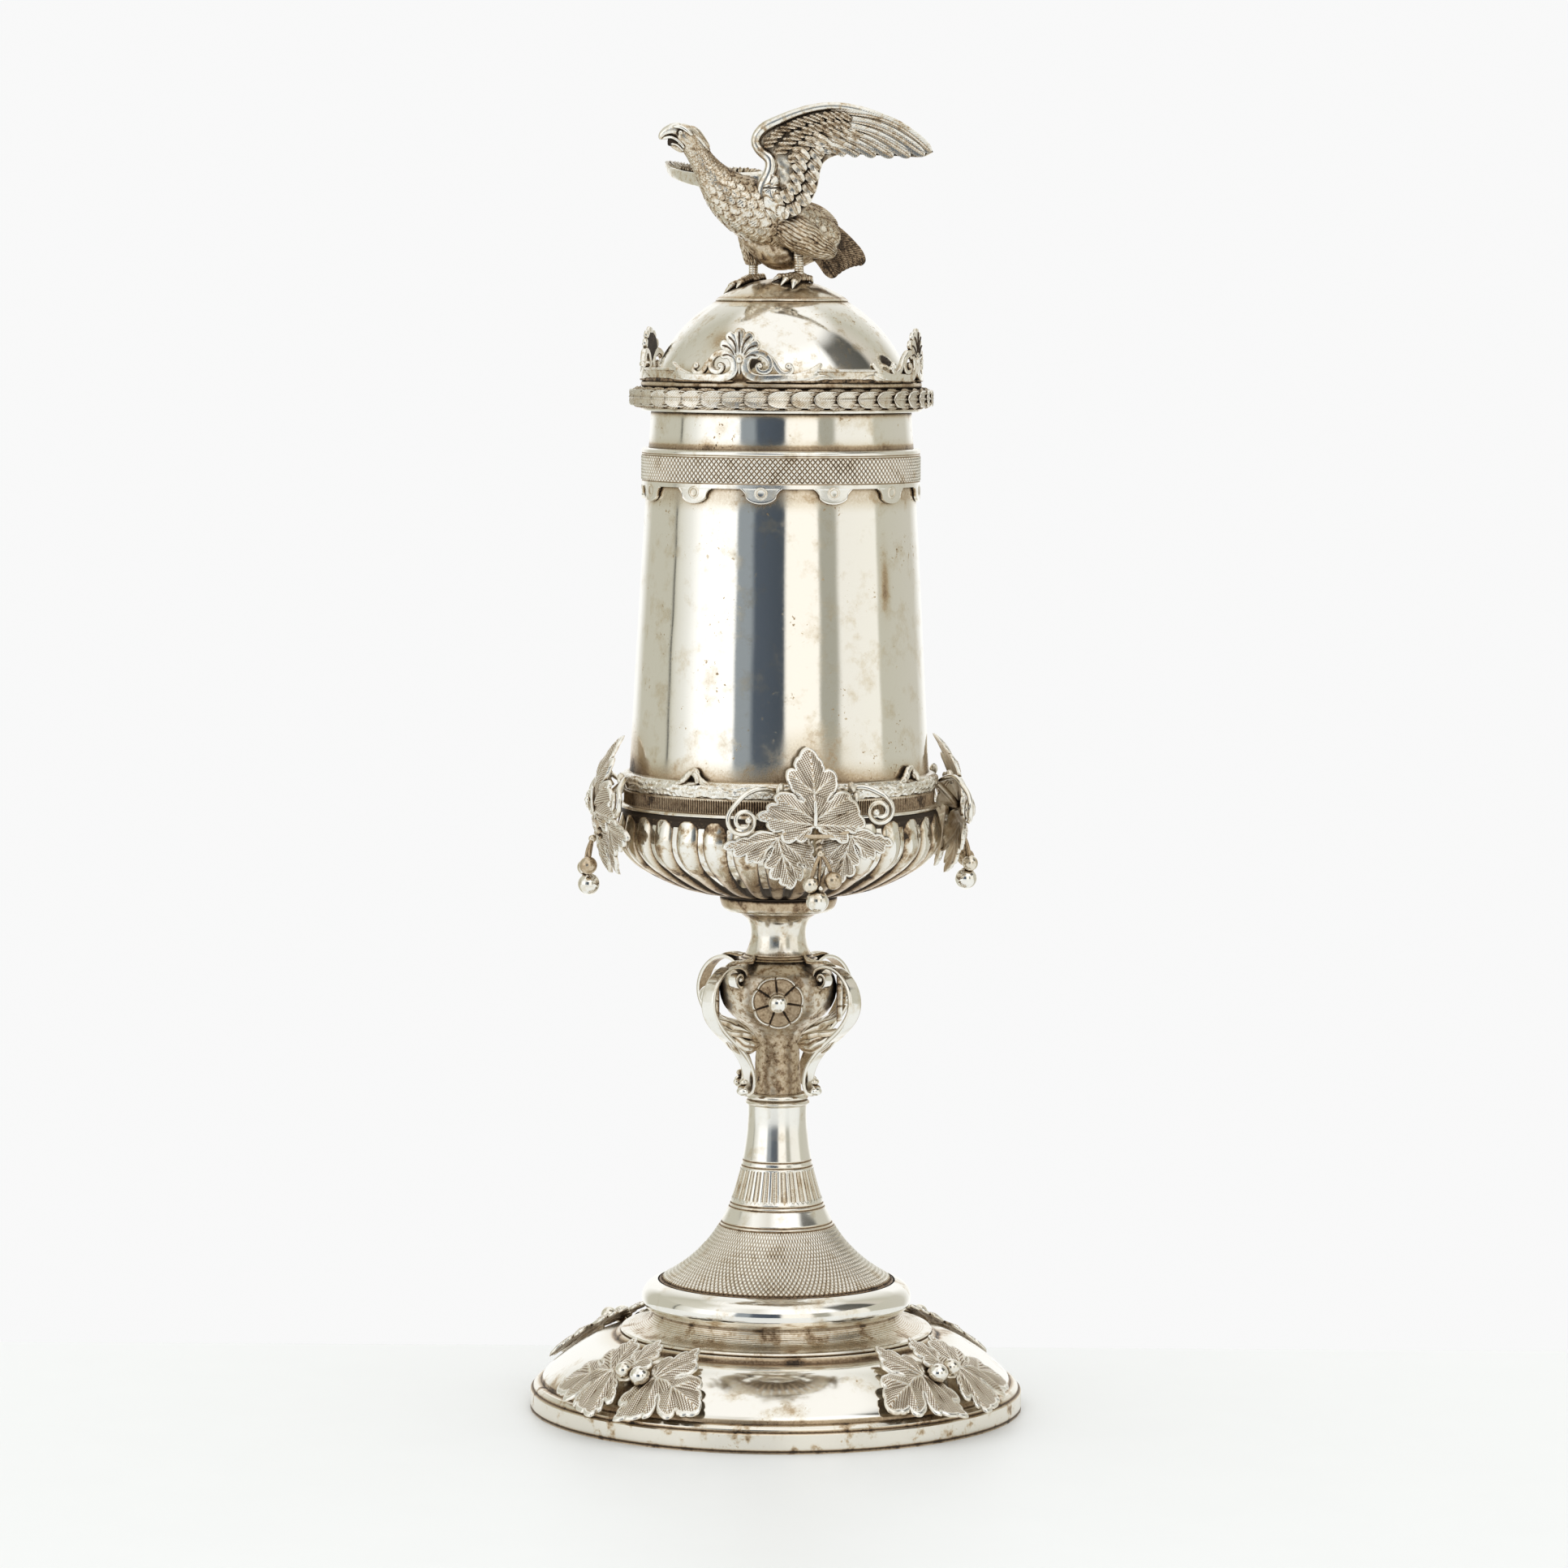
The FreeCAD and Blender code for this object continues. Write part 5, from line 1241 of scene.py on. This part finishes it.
def wreath():
    outside = smooth([(42.6, 311.0), (43.9, 311.25), (45.2, 312.1), (45.7, 313.7), (45.2, 315.4),
        (44.0, 316.4), (43.2, 316.6)], 0.3)
    inside = cornered([(41.05, 316.6), (41.05, 311.0)], 1.0)
    parts = [revolved(outside, inside, 300, dirt=0.60)]

    def laurel(length, z, r, half, tilt, dirt, step):
        """A leaf bent round the moulding, its round tip to the left and raised over the next one's tail."""
        run = np.linspace(-0.45, 0.55, 9) * length
        lift = 1.05 - 0.15 * (run - run[0])
        line = np.stack([run, -lift, z + 0 * run], 1)
        one = feather(line, half, 0.85, up=(0, -math.cos(tilt), math.sin(tilt)), barbs=1.5, dirt=dirt,
            blunt=0.42, start=0.0, step=step, spine=0.08)
        return changed(one, wrapped(r))

    main = laurel(9.4, 313.75, 45.3, 2.5, 0.0, 0.0, 0.42)
    above = laurel(6.0, 315.7, 44.2, 1.25, 0.9, 0.22, 0.5)
    below = laurel(6.0, 311.9, 44.4, 1.25, -0.9, 0.22, 0.5)
    for k in range(WREATH_LEAVES):
        turn = 360 * k / WREATH_LEAVES
        parts.append(about_z(main, turn))
        parts.append(about_z(above, turn + 4.4))
        parts.append(about_z(below, turn + 4.4))
    piece("laurel_wreath_moulding", merged(*parts), "lid_wreath", CHASED, body="lid")


def crown():
    def band(flat, half, depth, start=0.3, end=0.3, reach=0.08, dirt=0.03, y=0.0):
        """A scroll band in the (x, z) plane: half its height, half its depth."""
        path = smooth(standing(flat, y), 0.3)
        size = np.interp(np.linspace(0, 1, len(path)), np.linspace(0, 1, len(half)), half)
        size = size * tapered(len(path), start, end, reach)
        return swept(path, bar_section(0.55), size, depth * tapered(len(path), 0.6, 0.6, reach), up=FRONT,
            dirt=dirt)

    scroll = [(24.2, 321.6), (20.5, 320.7), (15.0, 320.3), (9.0, 320.1), (4.6, 320.3), (2.2, 321.8),
        (1.7, 324.2), (3.0, 326.7), (5.7, 327.7), (8.3, 326.7), (9.5, 324.4), (8.8, 322.4), (7.0, 321.9),
        (5.6, 322.8), (5.5, 324.1), (6.3, 324.6)]
    curl = [(6.4, 327.9), (9.2, 326.4), (11.0, 323.9), (12.6, 321.9), (14.6, 321.5), (15.8, 322.8),
        (15.2, 324.1)]
    horn = [(16.4, 320.6), (19.4, 321.0), (22.6, 322.6), (24.8, 324.6)]
    tail = [(18.0, 319.9), (22.0, 320.0), (25.2, 320.5), (28.6, 319.9)]
    half = merged(
        band(scroll, [0.9, 1.2, 1.3, 1.35, 1.35, 1.2, 1.0, 0.8, 0.6], 0.95),
        ball((6.2, -0.2, 323.9), 1.05, sides=28),
        band(curl, [0.5, 0.7, 0.85, 0.8, 0.65], 0.8),
        ball((14.9, -0.1, 323.8), 1.1, (1.1, 0.9, 1), 28),
        band(horn, [1.0, 1.3, 1.1, 0.6], 0.85, 0.4, 0.5),
        band(tail, [0.8, 1.1, 0.9, 0.3], 0.8, 0.4, 0.2),
        band([(2.0, 319.2), (12.0, 319.15), (24.0, 319.2)], [0.35, 0.35], 0.9, dirt=0.5))

    petals = []
    base = np.array([0.0, 325.9])
    for lean, length, fat in ((-80, 6.4, 1.3), (-53, 7.8, 1.6), (-27, 8.7, 1.7), (0, 9.3, 1.8),
            (27, 8.7, 1.7), (53, 7.8, 1.6), (80, 6.4, 1.3)):
        way = np.array([math.sin(math.radians(lean)), math.cos(math.radians(lean))])
        bow = np.array([way[1], -way[0]]) * (0.09 * length * math.copysign(1, lean) if lean else 0)
        line = [base + way * 0.6, base + way * length * 0.55 - bow, base + way * length]
        petals.append(band(line, [0.35, 0.60, 0.95, fat * 0.95, fat, fat * 0.8], 0.75, 0.5, 0.30, 0.16,
            y=-0.15))
        petals.append(band([base + way * 2.0, base + way * length * 0.6 - bow, base + way * (length - 1.1)],
            [0.10, 0.16, 0.24, 0.30], 0.35, dirt=0.75, y=-0.82, reach=0.2))
    back_plate = ball((0, 0.45, 328.8), 5.0, (1.02, 0.10, 0.96), 60, 0.9)
    bead = ball((0, -0.4, 325.7), 1.25, (1, 0.9, 1.15), 36)
    drop = band([(0, 325.2), (0, 323.4), (0, 321.2)], [0.95, 0.55, 0.25], 0.7, dirt=0.15)
    palmette = merged(half, mirrored(half), back_plate, bead, drop, *petals)
    palmette = changed(palmette, wrapped(GALLERY_R))
    four("palmette_scrolls_", palmette, PALMETTE_OFFSET, "palmette_", CAST, sharp=60, body="lid")

    bars = []
    for k in range(4):
        a = np.radians(np.linspace(31, 59, 70) + PALMETTE_OFFSET + 90 * k)
        bars += [
            swept(around(GALLERY_R, a, 321.3), bar_section(), 0.5, 1.45, dirt=0.12),
            swept(around(GALLERY_R + 0.35, a, 322.5), circle(18), 0.45),
            swept(around(GALLERY_R, a, 319.4), bar_section(), 0.45, 0.55, dirt=0.6)]
    piece("crown_gallery_bars", merged(*bars), "crown_gallery", CAST, sharp=60, body="lid")


cup_clusters()
foot_clusters()
rosettes()
brackets()
wreath()
crown()


# ---- eagle --------------------------------------------------------------------------------

def eagle_body():
    def plumage(run, angle, radius):
        size = np.interp(run, [0, 9, 16, 24, 34, 60], [0.9, 1.1, 1.7, 2.9, 3.2, 3.0])
        rows = np.interp(run, run[:, 0], np.cumsum(np.gradient(run[:, 0]) / size[:, 0] * 1.1))
        count = np.round(TAU * 8.2 / 3.1)
        tip, gap = lapped(rows, angle / TAU * count)
        fine, fine_gap = lapped(run / 0.95, angle / TAU * 22)
        big = ramp(run, 15, 25)
        stipple = np.sin(angle * 23 + 3 * np.sin(run * 2.1)) * np.sin(run * 5.3 + 2 * np.sin(angle * 7))
        head = (1 - big) * ramp(run, 5, 9) * (0.20 * fine + 0.07 * stipple - 0.1)
        head_dirt = (1 - big) * (0.16 + 0.45 * fine_gap * ramp(run, 5, 9) + 0.2 * (stipple > 0.5))
        height = big * (0.40 * tip - 0.15 + 0.10 * stipple) + head
        dirt = big * (0.55 * gap + 0.10 + 0.15 * (stipple > 0.45)) + head_dirt
        back = ramp(np.sin(angle), 0.2, 0.9) * ramp(run, 8, 14)
        return height, dirt + 0.22 * back

    trunk = plumed([(-33.4, -11.6, 393.4, 1.9), (-31.6, -11.6, 393.6, 3.3), (-29.0, -11.5, 392.3, 3.8),
        (-26.6, -11.2, 389.2, 3.5), (-24.6, -10.8, 385.8, 3.7), (-21.6, -10.0, 381.4, 4.9),
        (-17.6, -8.6, 376.8, 6.8), (-12.6, -6.8, 372.8, 8.3), (-6.6, -4.2, 369.8, 9.3),
        (0.8, -0.6, 367.0, 9.2), (7.4, 3.0, 364.8, 7.6), (13.4, 5.8, 362.8, 5.2), (17.4, 7.6, 361.2, 2.4)],
        plumage)

    def streaks(run, angle, radius):
        lines = np.sin(angle * 26 + 1.5 * np.sin(run * 0.9)) + 0.5 * np.sin(angle * 47 + run)
        return 0.13 * lines, 0.24 + 0.46 * ramp(-lines, 0.2, 1.3)

    def belly(run, angle, radius):
        soft = np.sin(angle * 9 + 1.2 * np.sin(run * 0.8)) * np.sin(run * 0.9)
        return 0.16 * soft, 0.30 + 0.3 * ramp(-soft, 0.2, 1)

    near_thigh = plumed([(-2.5, -7.2, 368.6, 3.0), (1.6, -8.0, 366.0, 5.0), (6.2, -7.8, 363.0, 5.4),
        (10.8, -6.2, 360.4, 4.2), (14.6, -4.6, 358.6, 2.6), (16.4, -3.8, 357.8, 1.2)], streaks)
    near_knee = plumed([(3.2, -6.6, 364.0, 3.4), (4.2, -6.8, 361.2, 2.9), (5.0, -6.4, 358.6, 1.9)],
        streaks, 90)
    far_thigh = plumed([(-9.6, 0.4, 366.0, 4.4), (-9.2, 1.4, 361.5, 4.0), (-8.9, 2.2, 357.4, 3.2),
        (-8.8, 2.6, 354.2, 2.3)], streaks, 90)
    abdomen = plumed([(-10.6, -2.6, 366.0, 4.6), (-5.4, -1.6, 361.8, 6.0), (-0.8, -0.2, 359.0, 6.3),
        (4.4, 1.6, 358.6, 5.2), (9.6, 3.6, 359.2, 3.6), (13.0, 4.6, 359.6, 1.8)], belly)

    parts = [trunk, near_thigh, near_knee, far_thigh, abdomen]
    parts += beak_and_face()
    parts += claws((5.4, -5.6), (4.8, -6.4, 359.4), (199, 231, 256, 25))
    parts += claws((-8.8, 2.6), (-8.8, 2.5, 356.0), (176, 205, 236, 30))
    for i, spread in enumerate(np.linspace(-1, 1, 7)):
        tip = (20.8 + 4.4 * spread, 8.6 + 7.6 * spread, 353.6 + 2.1 * spread - 0.9 * spread ** 2)
        root = (7.0 + 1.6 * spread, 3.4 + 2.2 * spread, 366.2 + 3.4 * spread)
        middle = tuple((a + b) / 2 + bow for a, b, bow in zip(root, tip, (0.6, 0.4, 0.9)))
        parts.append(feather([root, middle, tip], 2.5, 0.55, up=(-0.35, -0.75, 0.55),
            dirt=0.46 + 0.06 * (i % 2), barbs=1.4))
    for spread in (-0.8, -0.25, 0.3, 0.85):
        root = (3.0 + 2.4 * spread, 0.4 + 2.0 * spread, 370.2 + 2.6 * spread)
        tip = (14.0 + 2.6 * spread, 4.6 + 4.4 * spread, 361.6 + 3.6 * spread)
        middle = tuple((a + b) / 2 + bow for a, b, bow in zip(root, tip, (0.9, -0.6, 1.5)))
        parts.append(feather([root, middle, tip], 2.3, 0.8, up=(-0.3, -0.75, 0.6), dirt=0.2, barbs=1.2))
    piece("eagle_body_casting", merged(*parts), "eagle_body", CAST, sharp=75, body="lid")


def beak_and_face():
    upper = strand([(-30.8, -11.6, 394.4), (-33.4, -11.6, 394.9), (-35.6, -11.6, 394.2),
        (-36.9, -11.6, 393.0), (-37.3, -11.6, 391.9)], 0.15, (2.9, 0.75), 40, end=0.12, reach=0.2)
    lower = strand([(-29.6, -11.6, 389.3), (-32.2, -11.6, 390.0), (-34.4, -11.6, 390.9)], 0.15, (1.9, 0.8),
        32, end=0.2, reach=0.3, dirt=0.15)
    cleft = strand([(-29.8, -11.6, 390.4), (-32.6, -11.6, 391.4), (-35.0, -11.6, 391.9)], 0.2, 1.7, 24,
        end=0.3, dirt=0.95)
    tuft = strand([(-29.0, -11.5, 395.6), (-26.2, -11.4, 393.8), (-23.9, -11.2, 390.6),
        (-22.4, -11.0, 389.4)], 0.2, 1.5, 24, start=0.3, end=0.2, reach=0.3, dirt=0.2)
    out = [upper, lower, cleft, tuft]
    for side in (-1, 1):
        def at(x, off, z):
            return (x, -11.6 + side * off, z)

        mouth = [at(-36.6, 0.7, 392.2), at(-34.4, 1.9, 392.7), at(-32.0, 2.8, 391.8), at(-29.9, 3.2, 389.4)]
        jaw = [at(-34.2, 0.9, 390.8), at(-32.2, 1.8, 390.4), at(-30.2, 2.7, 388.6)]
        brow = [at(-33.4, 2.0, 395.9), at(-31.4, 3.0, 395.8), at(-29.0, 3.5, 394.6), at(-27.4, 3.5, 393.2)]
        lids = [at(-31.0 + 1.1 * math.cos(a), 3.0, 394.0 + 0.95 * math.sin(a))
            for a in np.linspace(0, 6.2, 40)]
        out += [
            strand(mouth, 0.15, 0.42, 12, end=0.4),
            strand(jaw, 0.15, 0.36, 12, end=0.4),
            strand(brow, 0.15, 0.62, 14, start=0.3, end=0.3, reach=0.25),
            ball(at(-31.0, 3.25, 394.0), 0.78, sides=26),
            wire(lids, 0.24, 10, up=(0, 1, 0), dirt=0.8),
            ball(at(-35.0, 1.2, 393.6), 0.32, (1.5, 0.6, 0.8), 18, 1.0)]
        for k in range(3):
            lock = [at(-28.0 + k * 0.9, 2.2 - 0.7 * k, 394.6 - k),
                at(-25.6 + k * 0.7, 1.8 - 0.6 * k, 392.6 - k),
                at(-23.2 + k * 0.5, 1.0 - 0.4 * k, 389.6 - k * 0.5)]
            out.append(feather(lock, 1.0, 0.5, up=(0.5, -0.2, 0.8)))
    return out


def claws(foot, hip, headings):
    """Scaly leg down to the dome, three forward toes and a hind one, each ending in a claw."""
    x, y = foot
    radius = CAP_BALL_R

    def ground(px, py):
        return CAP_TOP_Z - radius + math.sqrt(radius ** 2 - px ** 2 - py ** 2)

    sole = ground(x, y)
    leg = smooth([hip, ((hip[0] + x) / 2, (hip[1] + y) / 2, (hip[2] + sole) / 2), (x, y, sole + 0.2)], 0.12)
    ringed = 1.35 + 0.14 * np.abs(np.sin(np.arange(len(leg)) * 0.12 * math.pi / 0.8))
    parts = [wire(leg, ringed, 26, up=FRONT, dirt=0.5 * (ringed < 1.39)), ball((x, y, sole + 0.9), 1.9,
        (1.1, 1.1, 0.8), 36, 0.15)]
    for k, heading in enumerate(headings):
        a = math.radians(heading)
        reach = 9.2 if k < 3 else 4.6
        places = []
        for t, rise in ((0, 1.2), (0.25, 1.45), (0.5, 1.1), (0.72, 1.2), (0.9, 0.6), (1.0, 0.1)):
            px, py = x + reach * t * math.cos(a), y + reach * t * math.sin(a)
            places.append((px, py, ground(px, py) + rise))
        toe = smooth(places, 0.12)
        t = np.linspace(0, 1, len(toe))
        knuckle = 0.13 * np.abs(np.sin(t * math.pi * 8)) * (t < 0.74)
        size = np.interp(t, [0, 0.3, 0.7, 0.76, 1], [1.35, 1.15, 1.05, 0.8, 0.22]) + knuckle
        parts.append(wire(toe, size, 24, start=0.8,
            dirt=np.clip(0.5 - 3.0 * knuckle, 0.05, 0.5) * (t < 0.74)))
    return parts


WING_FRONT = [(-4.0, 369.8), (-5.6, 373.6), (-5.4, 378.0), (-3.2, 382.8), (-3.3, 386.2), (-6.0, 388.6),
    (-7.7, 391.4), (-6.5, 394.5), (-2.0, 397.4), (5.0, 400.2), (15.0, 402.2), (26.0, 400.8), (36.0, 396.8),
    (43.0, 392.0), (46.8, 388.8)]
WING_REAR = [(0.0, 368.2), (5.0, 369.2), (9.0, 373.0), (11.4, 378.6), (13.2, 385.2), (18.0, 387.6),
    (26.0, 387.6), (34.0, 387.3), (40.0, 387.0), (44.6, 387.2), (46.9, 388.4)]
# Scale feathers on the wing's arm and bend: middle (x, z), the way it points in degrees, length,
# half width, and how far it stands out.
ARM_SCALES = [(11.6, 388.4, -38, 4.8, 2.1, 0.0), (10.8, 385.0, -42, 4.8, 2.1, 0.0),
    (10.0, 381.4, -46, 4.8, 2.1, 0.0), (9.2, 377.8, -50, 4.8, 2.1, 0.0), (7.6, 374.4, -56, 4.8, 2.1, 0.0),
    (4.6, 371.6, -66, 4.8, 2.1, 0.0), (1.0, 370.2, -78, 4.6, 2.1, 0.0), (7.4, 387.2, -40, 4.4, 1.9, 0.5),
    (6.4, 384.0, -44, 4.4, 1.9, 0.5), (5.8, 380.8, -48, 4.4, 1.9, 0.5), (4.8, 377.8, -54, 4.4, 1.9, 0.5),
    (2.6, 375.2, -62, 4.4, 1.9, 0.5), (-0.6, 373.6, -74, 4.4, 1.9, 0.5), (-3.4, 373.4, -88, 4.2, 1.8, 0.5),
    (14.6, 390.0, -30, 5.0, 2.0, 0.0), (13.0, 391.8, -24, 4.6, 1.8, 0.3)]


def wing_shape(seed=4):
    """A raised wing in the XZ plane, its worked face towards -Y: rolled edge, coverts and long primaries."""
    rng = np.random.default_rng(seed)
    lead = smooth(WING_FRONT, count=150)
    rear = smooth(WING_REAR, count=150)
    share = np.linspace(0.0, 1, 40)[:, None, None]
    web = lead[None] * (1 - share) + rear[None] * share
    pad = 0.35 * ripple(np.concatenate([web, 0 * web[..., :1]], -1), 3.4, seed)
    belly = 0.9 * np.sin(math.pi * share[..., 0]) * np.linspace(1, 0.2, 150)[None, :]
    face = np.stack([web[..., 0], -0.4 - belly * 0.4 - pad * 0.5, web[..., 1]], -1)
    back = np.stack([web[..., 0], 0.9 - 0.2 * belly, web[..., 1]], -1)[::-1]
    rows = np.vstack([face, back])
    parts = [grid(rows, wrap_rows=True, dirt=0.16, flip=True)]
    edge = np.stack([lead[:, 0], np.full(150, -0.3), lead[:, 1]], 1)
    size = np.interp(np.linspace(0, 1, 150), [0, 0.18, 0.26, 0.36, 0.5, 0.75, 1], [2.4, 1.9, 1.5, 1.75, 1.45,
        1.1, 0.55])
    parts.append(wire(edge, size, 30, up=FRONT, start=0.3, end=0.3, reach=0.05, dirt=0.02))

    def between(u, v, y):
        """A place on the wing: u from shoulder to tip, v from front edge to rear edge."""
        k = u * 149
        a = np.array([np.interp(k, np.arange(150), lead[:, i]) for i in (0, 1)])
        b = np.array([np.interp(k, np.arange(150), rear[:, i]) for i in (0, 1)])
        p = a + (b - a) * v
        return (p[0], y, p[1])

    tips = [(46.6, 388.4), (44.6, 387.3), (40.2, 386.9), (35.0, 386.9), (29.6, 387.2), (24.6, 387.5),
        (20.6, 387.9)]
    roots = [(15.4, 400.0), (15.0, 398.2), (14.4, 396.4), (14.0, 394.8), (13.8, 393.2), (13.8, 391.6),
        (14.0, 390.2)]
    bows = [(34.4, 397.0), (32.0, 395.0), (28.6, 393.6), (25.4, 392.3), (22.0, 391.3), (19.2, 390.3),
        (17.2, 389.4)]
    for k, (root, bow, tip) in enumerate(zip(roots, bows, tips)):
        y = -0.75 - 0.10 * k
        line = [(root[0], y, root[1]), (bow[0], y - 0.25, bow[1]), (tip[0], y + 0.1, tip[1])]
        parts.append(feather(line, 1.85 - 0.05 * k, 0.66, dirt=0.02, barbs=0.8, blunt=0.14))
    for x, z, heading, length, half, lift in ARM_SCALES:
        way = np.array([math.cos(math.radians(heading)), 0, math.sin(math.radians(heading))]) * length / 2
        middle = np.array([x, -1.5 - lift, z])
        line = [middle - way + np.array([0, 0.75, 0]), middle, middle + way + np.array([0, 0.35, 0])]
        parts.append(feather(line, half * rng.uniform(0.95, 1.06), 0.8, dirt=0.08, barbs=0.5, blunt=0.55,
            start=0.75))
    rows = [(0.30, 0.62, 0.62, 9, 4.4, 1.4), (0.30, 0.60, 0.42, 12, 4.0, 1.05),
        (0.29, 0.62, 0.24, 15, 3.6, 0.85)]
    for u0, u1, v, count, length, half in rows:
        for u in np.linspace(u0, u1, count):
            u = u + rng.uniform(-0.006, 0.006)
            start = np.array(between(u, v - 0.10, -1.0 - 0.7 * (1 - v)))
            ahead = np.array(between(u + 0.07, v + 0.16, 0)) - np.array(between(u, v - 0.10, 0))
            ahead = ahead / np.linalg.norm(ahead) * length * rng.uniform(0.85, 1.15)
            end = start + ahead + np.array([0, 0.30, 0])
            middle = (start + end) / 2 + np.array([0, -0.45, 0])
            parts.append(feather([start, middle, end], half * rng.uniform(0.85, 1.1), 0.65, dirt=0.16,
                barbs=0.9, blunt=0.35, start=0.6))
    return merged(*parts)


def eagle_wings():
    raised = wing_shape()
    left = turned(shifted(raised, (0, -11.6, 0)), (0, 0, 1), -12, (0, -9, 380))

    def overlapped(run, angle, radius):
        tip, gap = lapped(run / 3.0, angle / TAU * 7)
        return 0.6 * tip, 0.7 * gap

    shoulder = plumed([(1.0, -5.0, 367.4, 2.4), (-1.0, -8.4, 369.6, 4.2), (-2.6, -10.2, 373.6, 4.2),
        (-3.4, -10.6, 378.0, 2.8), (-2.4, -10.8, 382.0, 2.0)], overlapped, 90)
    piece("eagle_raised_wing", merged(left, shoulder), "eagle_left_wing", CAST, sharp=75, body="lid")

    root = np.array([-5.0, 370.0])
    span = np.array([46.8, 388.8]) - root
    tilt = math.degrees(math.atan2(span[1], span[0]))
    flat = shifted(raised, (-root[0], 0, -root[1]))
    flat = turned(flat, (0, 1, 0), tilt)
    flat = changed(flat, lambda p: p * np.array([0.86, 1.4, 0.52]))
    flat = turned(turned(flat, (1, 0, 0), -90), (0, 0, 1), 180)
    flat = turned(turned(flat, (1, 0, 0), 8), (0, 1, 0), 7)
    far = shifted(turned(flat, (0, 0, 1), -50), (-5.0, 4.0, 379.6))
    piece("eagle_far_wing", far, "eagle_right_wing", CAST, sharp=75, body="lid")


def bowl_floor_nut():
    low = BOWL_Z + SHEET
    outside = smooth([(5.0, low), (5.0, low + 1.4), (4.2, low + 2.9), (2.0, low + 3.9), (0.03, low + 4.0)],
        0.1)

    def turning(r, z, azimuth, run):
        return grooves(z, (low + 0.4, low + 1.5), width=0.15, depth=0.12)

    piece("rod_domed_nut", revolved(outside, [(0.03, low)], 160, turning), "rod_cap_nut", SHADED, sharp=50)


eagle_body()
eagle_wings()
bowl_floor_nut()


# ---- studio -------------------------------------------------------------------------------

def studio():
    """Pale table, plain pale surroundings, soft panels and flags that only the metal mirrors."""
    scene = bpy.context.scene
    scene.view_settings.view_transform = "Standard"
    scene.view_settings.look = "None"

    mesh = bpy.data.meshes.new("table_top")
    half, front, back = 3.0, -4.0, 0.10
    mesh.from_pydata([(-half, front, 0), (half, front, 0), (half, back, 0), (-half, back, 0)], [],
        [(0, 1, 2, 3)])
    material, n, where = blank("pale_laminate")
    colour = n.mix(n.noise(where, 30, 3), (0.80, 0.815, 0.81), (0.82, 0.835, 0.83))
    n.surface({"Base Color": colour, "Roughness": 0.42, "Specular IOR Level": 0.35})
    mesh.materials.append(material)
    table = bpy.data.objects.new("table_top", mesh)
    scene.collection.objects.link(table)

    world = bpy.data.worlds.new("studio")
    scene.world = world
    world.use_nodes = True
    n = Nodes(world.node_tree)
    way = n.add("ShaderNodeSeparateXYZ", {0: n.add("ShaderNodeTexCoord").outputs["Generated"]}).outputs
    turn = n.math("ARCTAN2", way["X"], n.math("MULTIPLY", way["Y"], -1.0))
    turn = n.math("MULTIPLY_ADD", turn, 0.5 / math.pi, 0.5)
    up = way["Z"]

    white, bright, cream = (1.22, 1.22, 1.21), (1.05, 1.05, 1.03), (1.10, 1.06, 0.98)
    wall, dim = (0.56, 0.545, 0.46), (0.40, 0.39, 0.33)
    dark, slate, black = (0.085, 0.105, 0.135), (0.30, 0.335, 0.365), (0.03, 0.03, 0.03)

    def stops(bands):
        return [(0.5 + degrees / 360, colour) for degrees, colour in bands]

    round_about = n.colours(turn, stops([(-180, bright), (-158, bright), (-140, wall), (-100, wall),
        (-98.5, dim), (-97, black), (-96, wall), (-92, (0.72, 0.71, 0.64)), (-80, (0.9, 0.9, 0.86)),
        (-68, white), (-37, white), (-35.5, slate), (-24, slate), (-20, dark), (3, (0.06, 0.075, 0.095)),
        (5, cream), (31, cream), (33, dim), (46, dim), (50, (0.92, 0.9, 0.84)), (86, (0.95, 0.93, 0.86)),
        (88, wall), (140, (0.60, 0.58, 0.51)), (160, bright), (180, bright)]))
    overhead = n.colours(turn, stops([(-180, bright), (-130, wall), (-80, (0.7, 0.68, 0.6)), (-60, bright),
        (-20, (0.8, 0.78, 0.72)), (0, white), (56, white), (64, (0.16, 0.155, 0.14)), (100,
        (0.09, 0.09, 0.08)), (107, (0.66, 0.62, 0.55)), (130, wall), (180, bright)]))
    mid = n.remap(up, 0.42, 0.47)
    high = n.remap(up, 0.80, 0.93)
    seen = n.mix(mid, round_about, overhead)
    seen = n.mix(high, seen, (1.05, 1.04, 1.01))
    rays = n.add("ShaderNodeLightPath").outputs
    plain = (0.945, 0.945, 0.945)
    mirrored = n.mix(rays["Is Glossy Ray"], (1.18, 1.18, 1.17), seen)
    colour = n.mix(rays["Is Camera Ray"], mirrored, plain)
    light = n.add("ShaderNodeBackground", {"Color": colour, "Strength": 1.0})
    n.add("ShaderNodeOutputWorld", {"Surface": light.outputs[0]})


def camera():
    """A long lens well back in front of the cup, looking slightly down, with a slight lean."""
    place = (0.0015, -1.75, 0.343)
    down, lean = 4.85, 0.33
    data = bpy.data.cameras.new("camera")
    data.sensor_width = 36.0
    data.lens = 130.4347826
    data.clip_start, data.clip_end = 0.05, 50
    thing = bpy.data.objects.new("camera", data)
    pitch = Matrix.Rotation(math.radians(90 - down), 4, "X")
    roll = Matrix.Rotation(math.radians(lean), 4, "Z")
    thing.matrix_world = Matrix.Translation(place) @ pitch @ roll
    bpy.context.scene.collection.objects.link(thing)
    bpy.context.scene.camera = thing


studio()
camera()
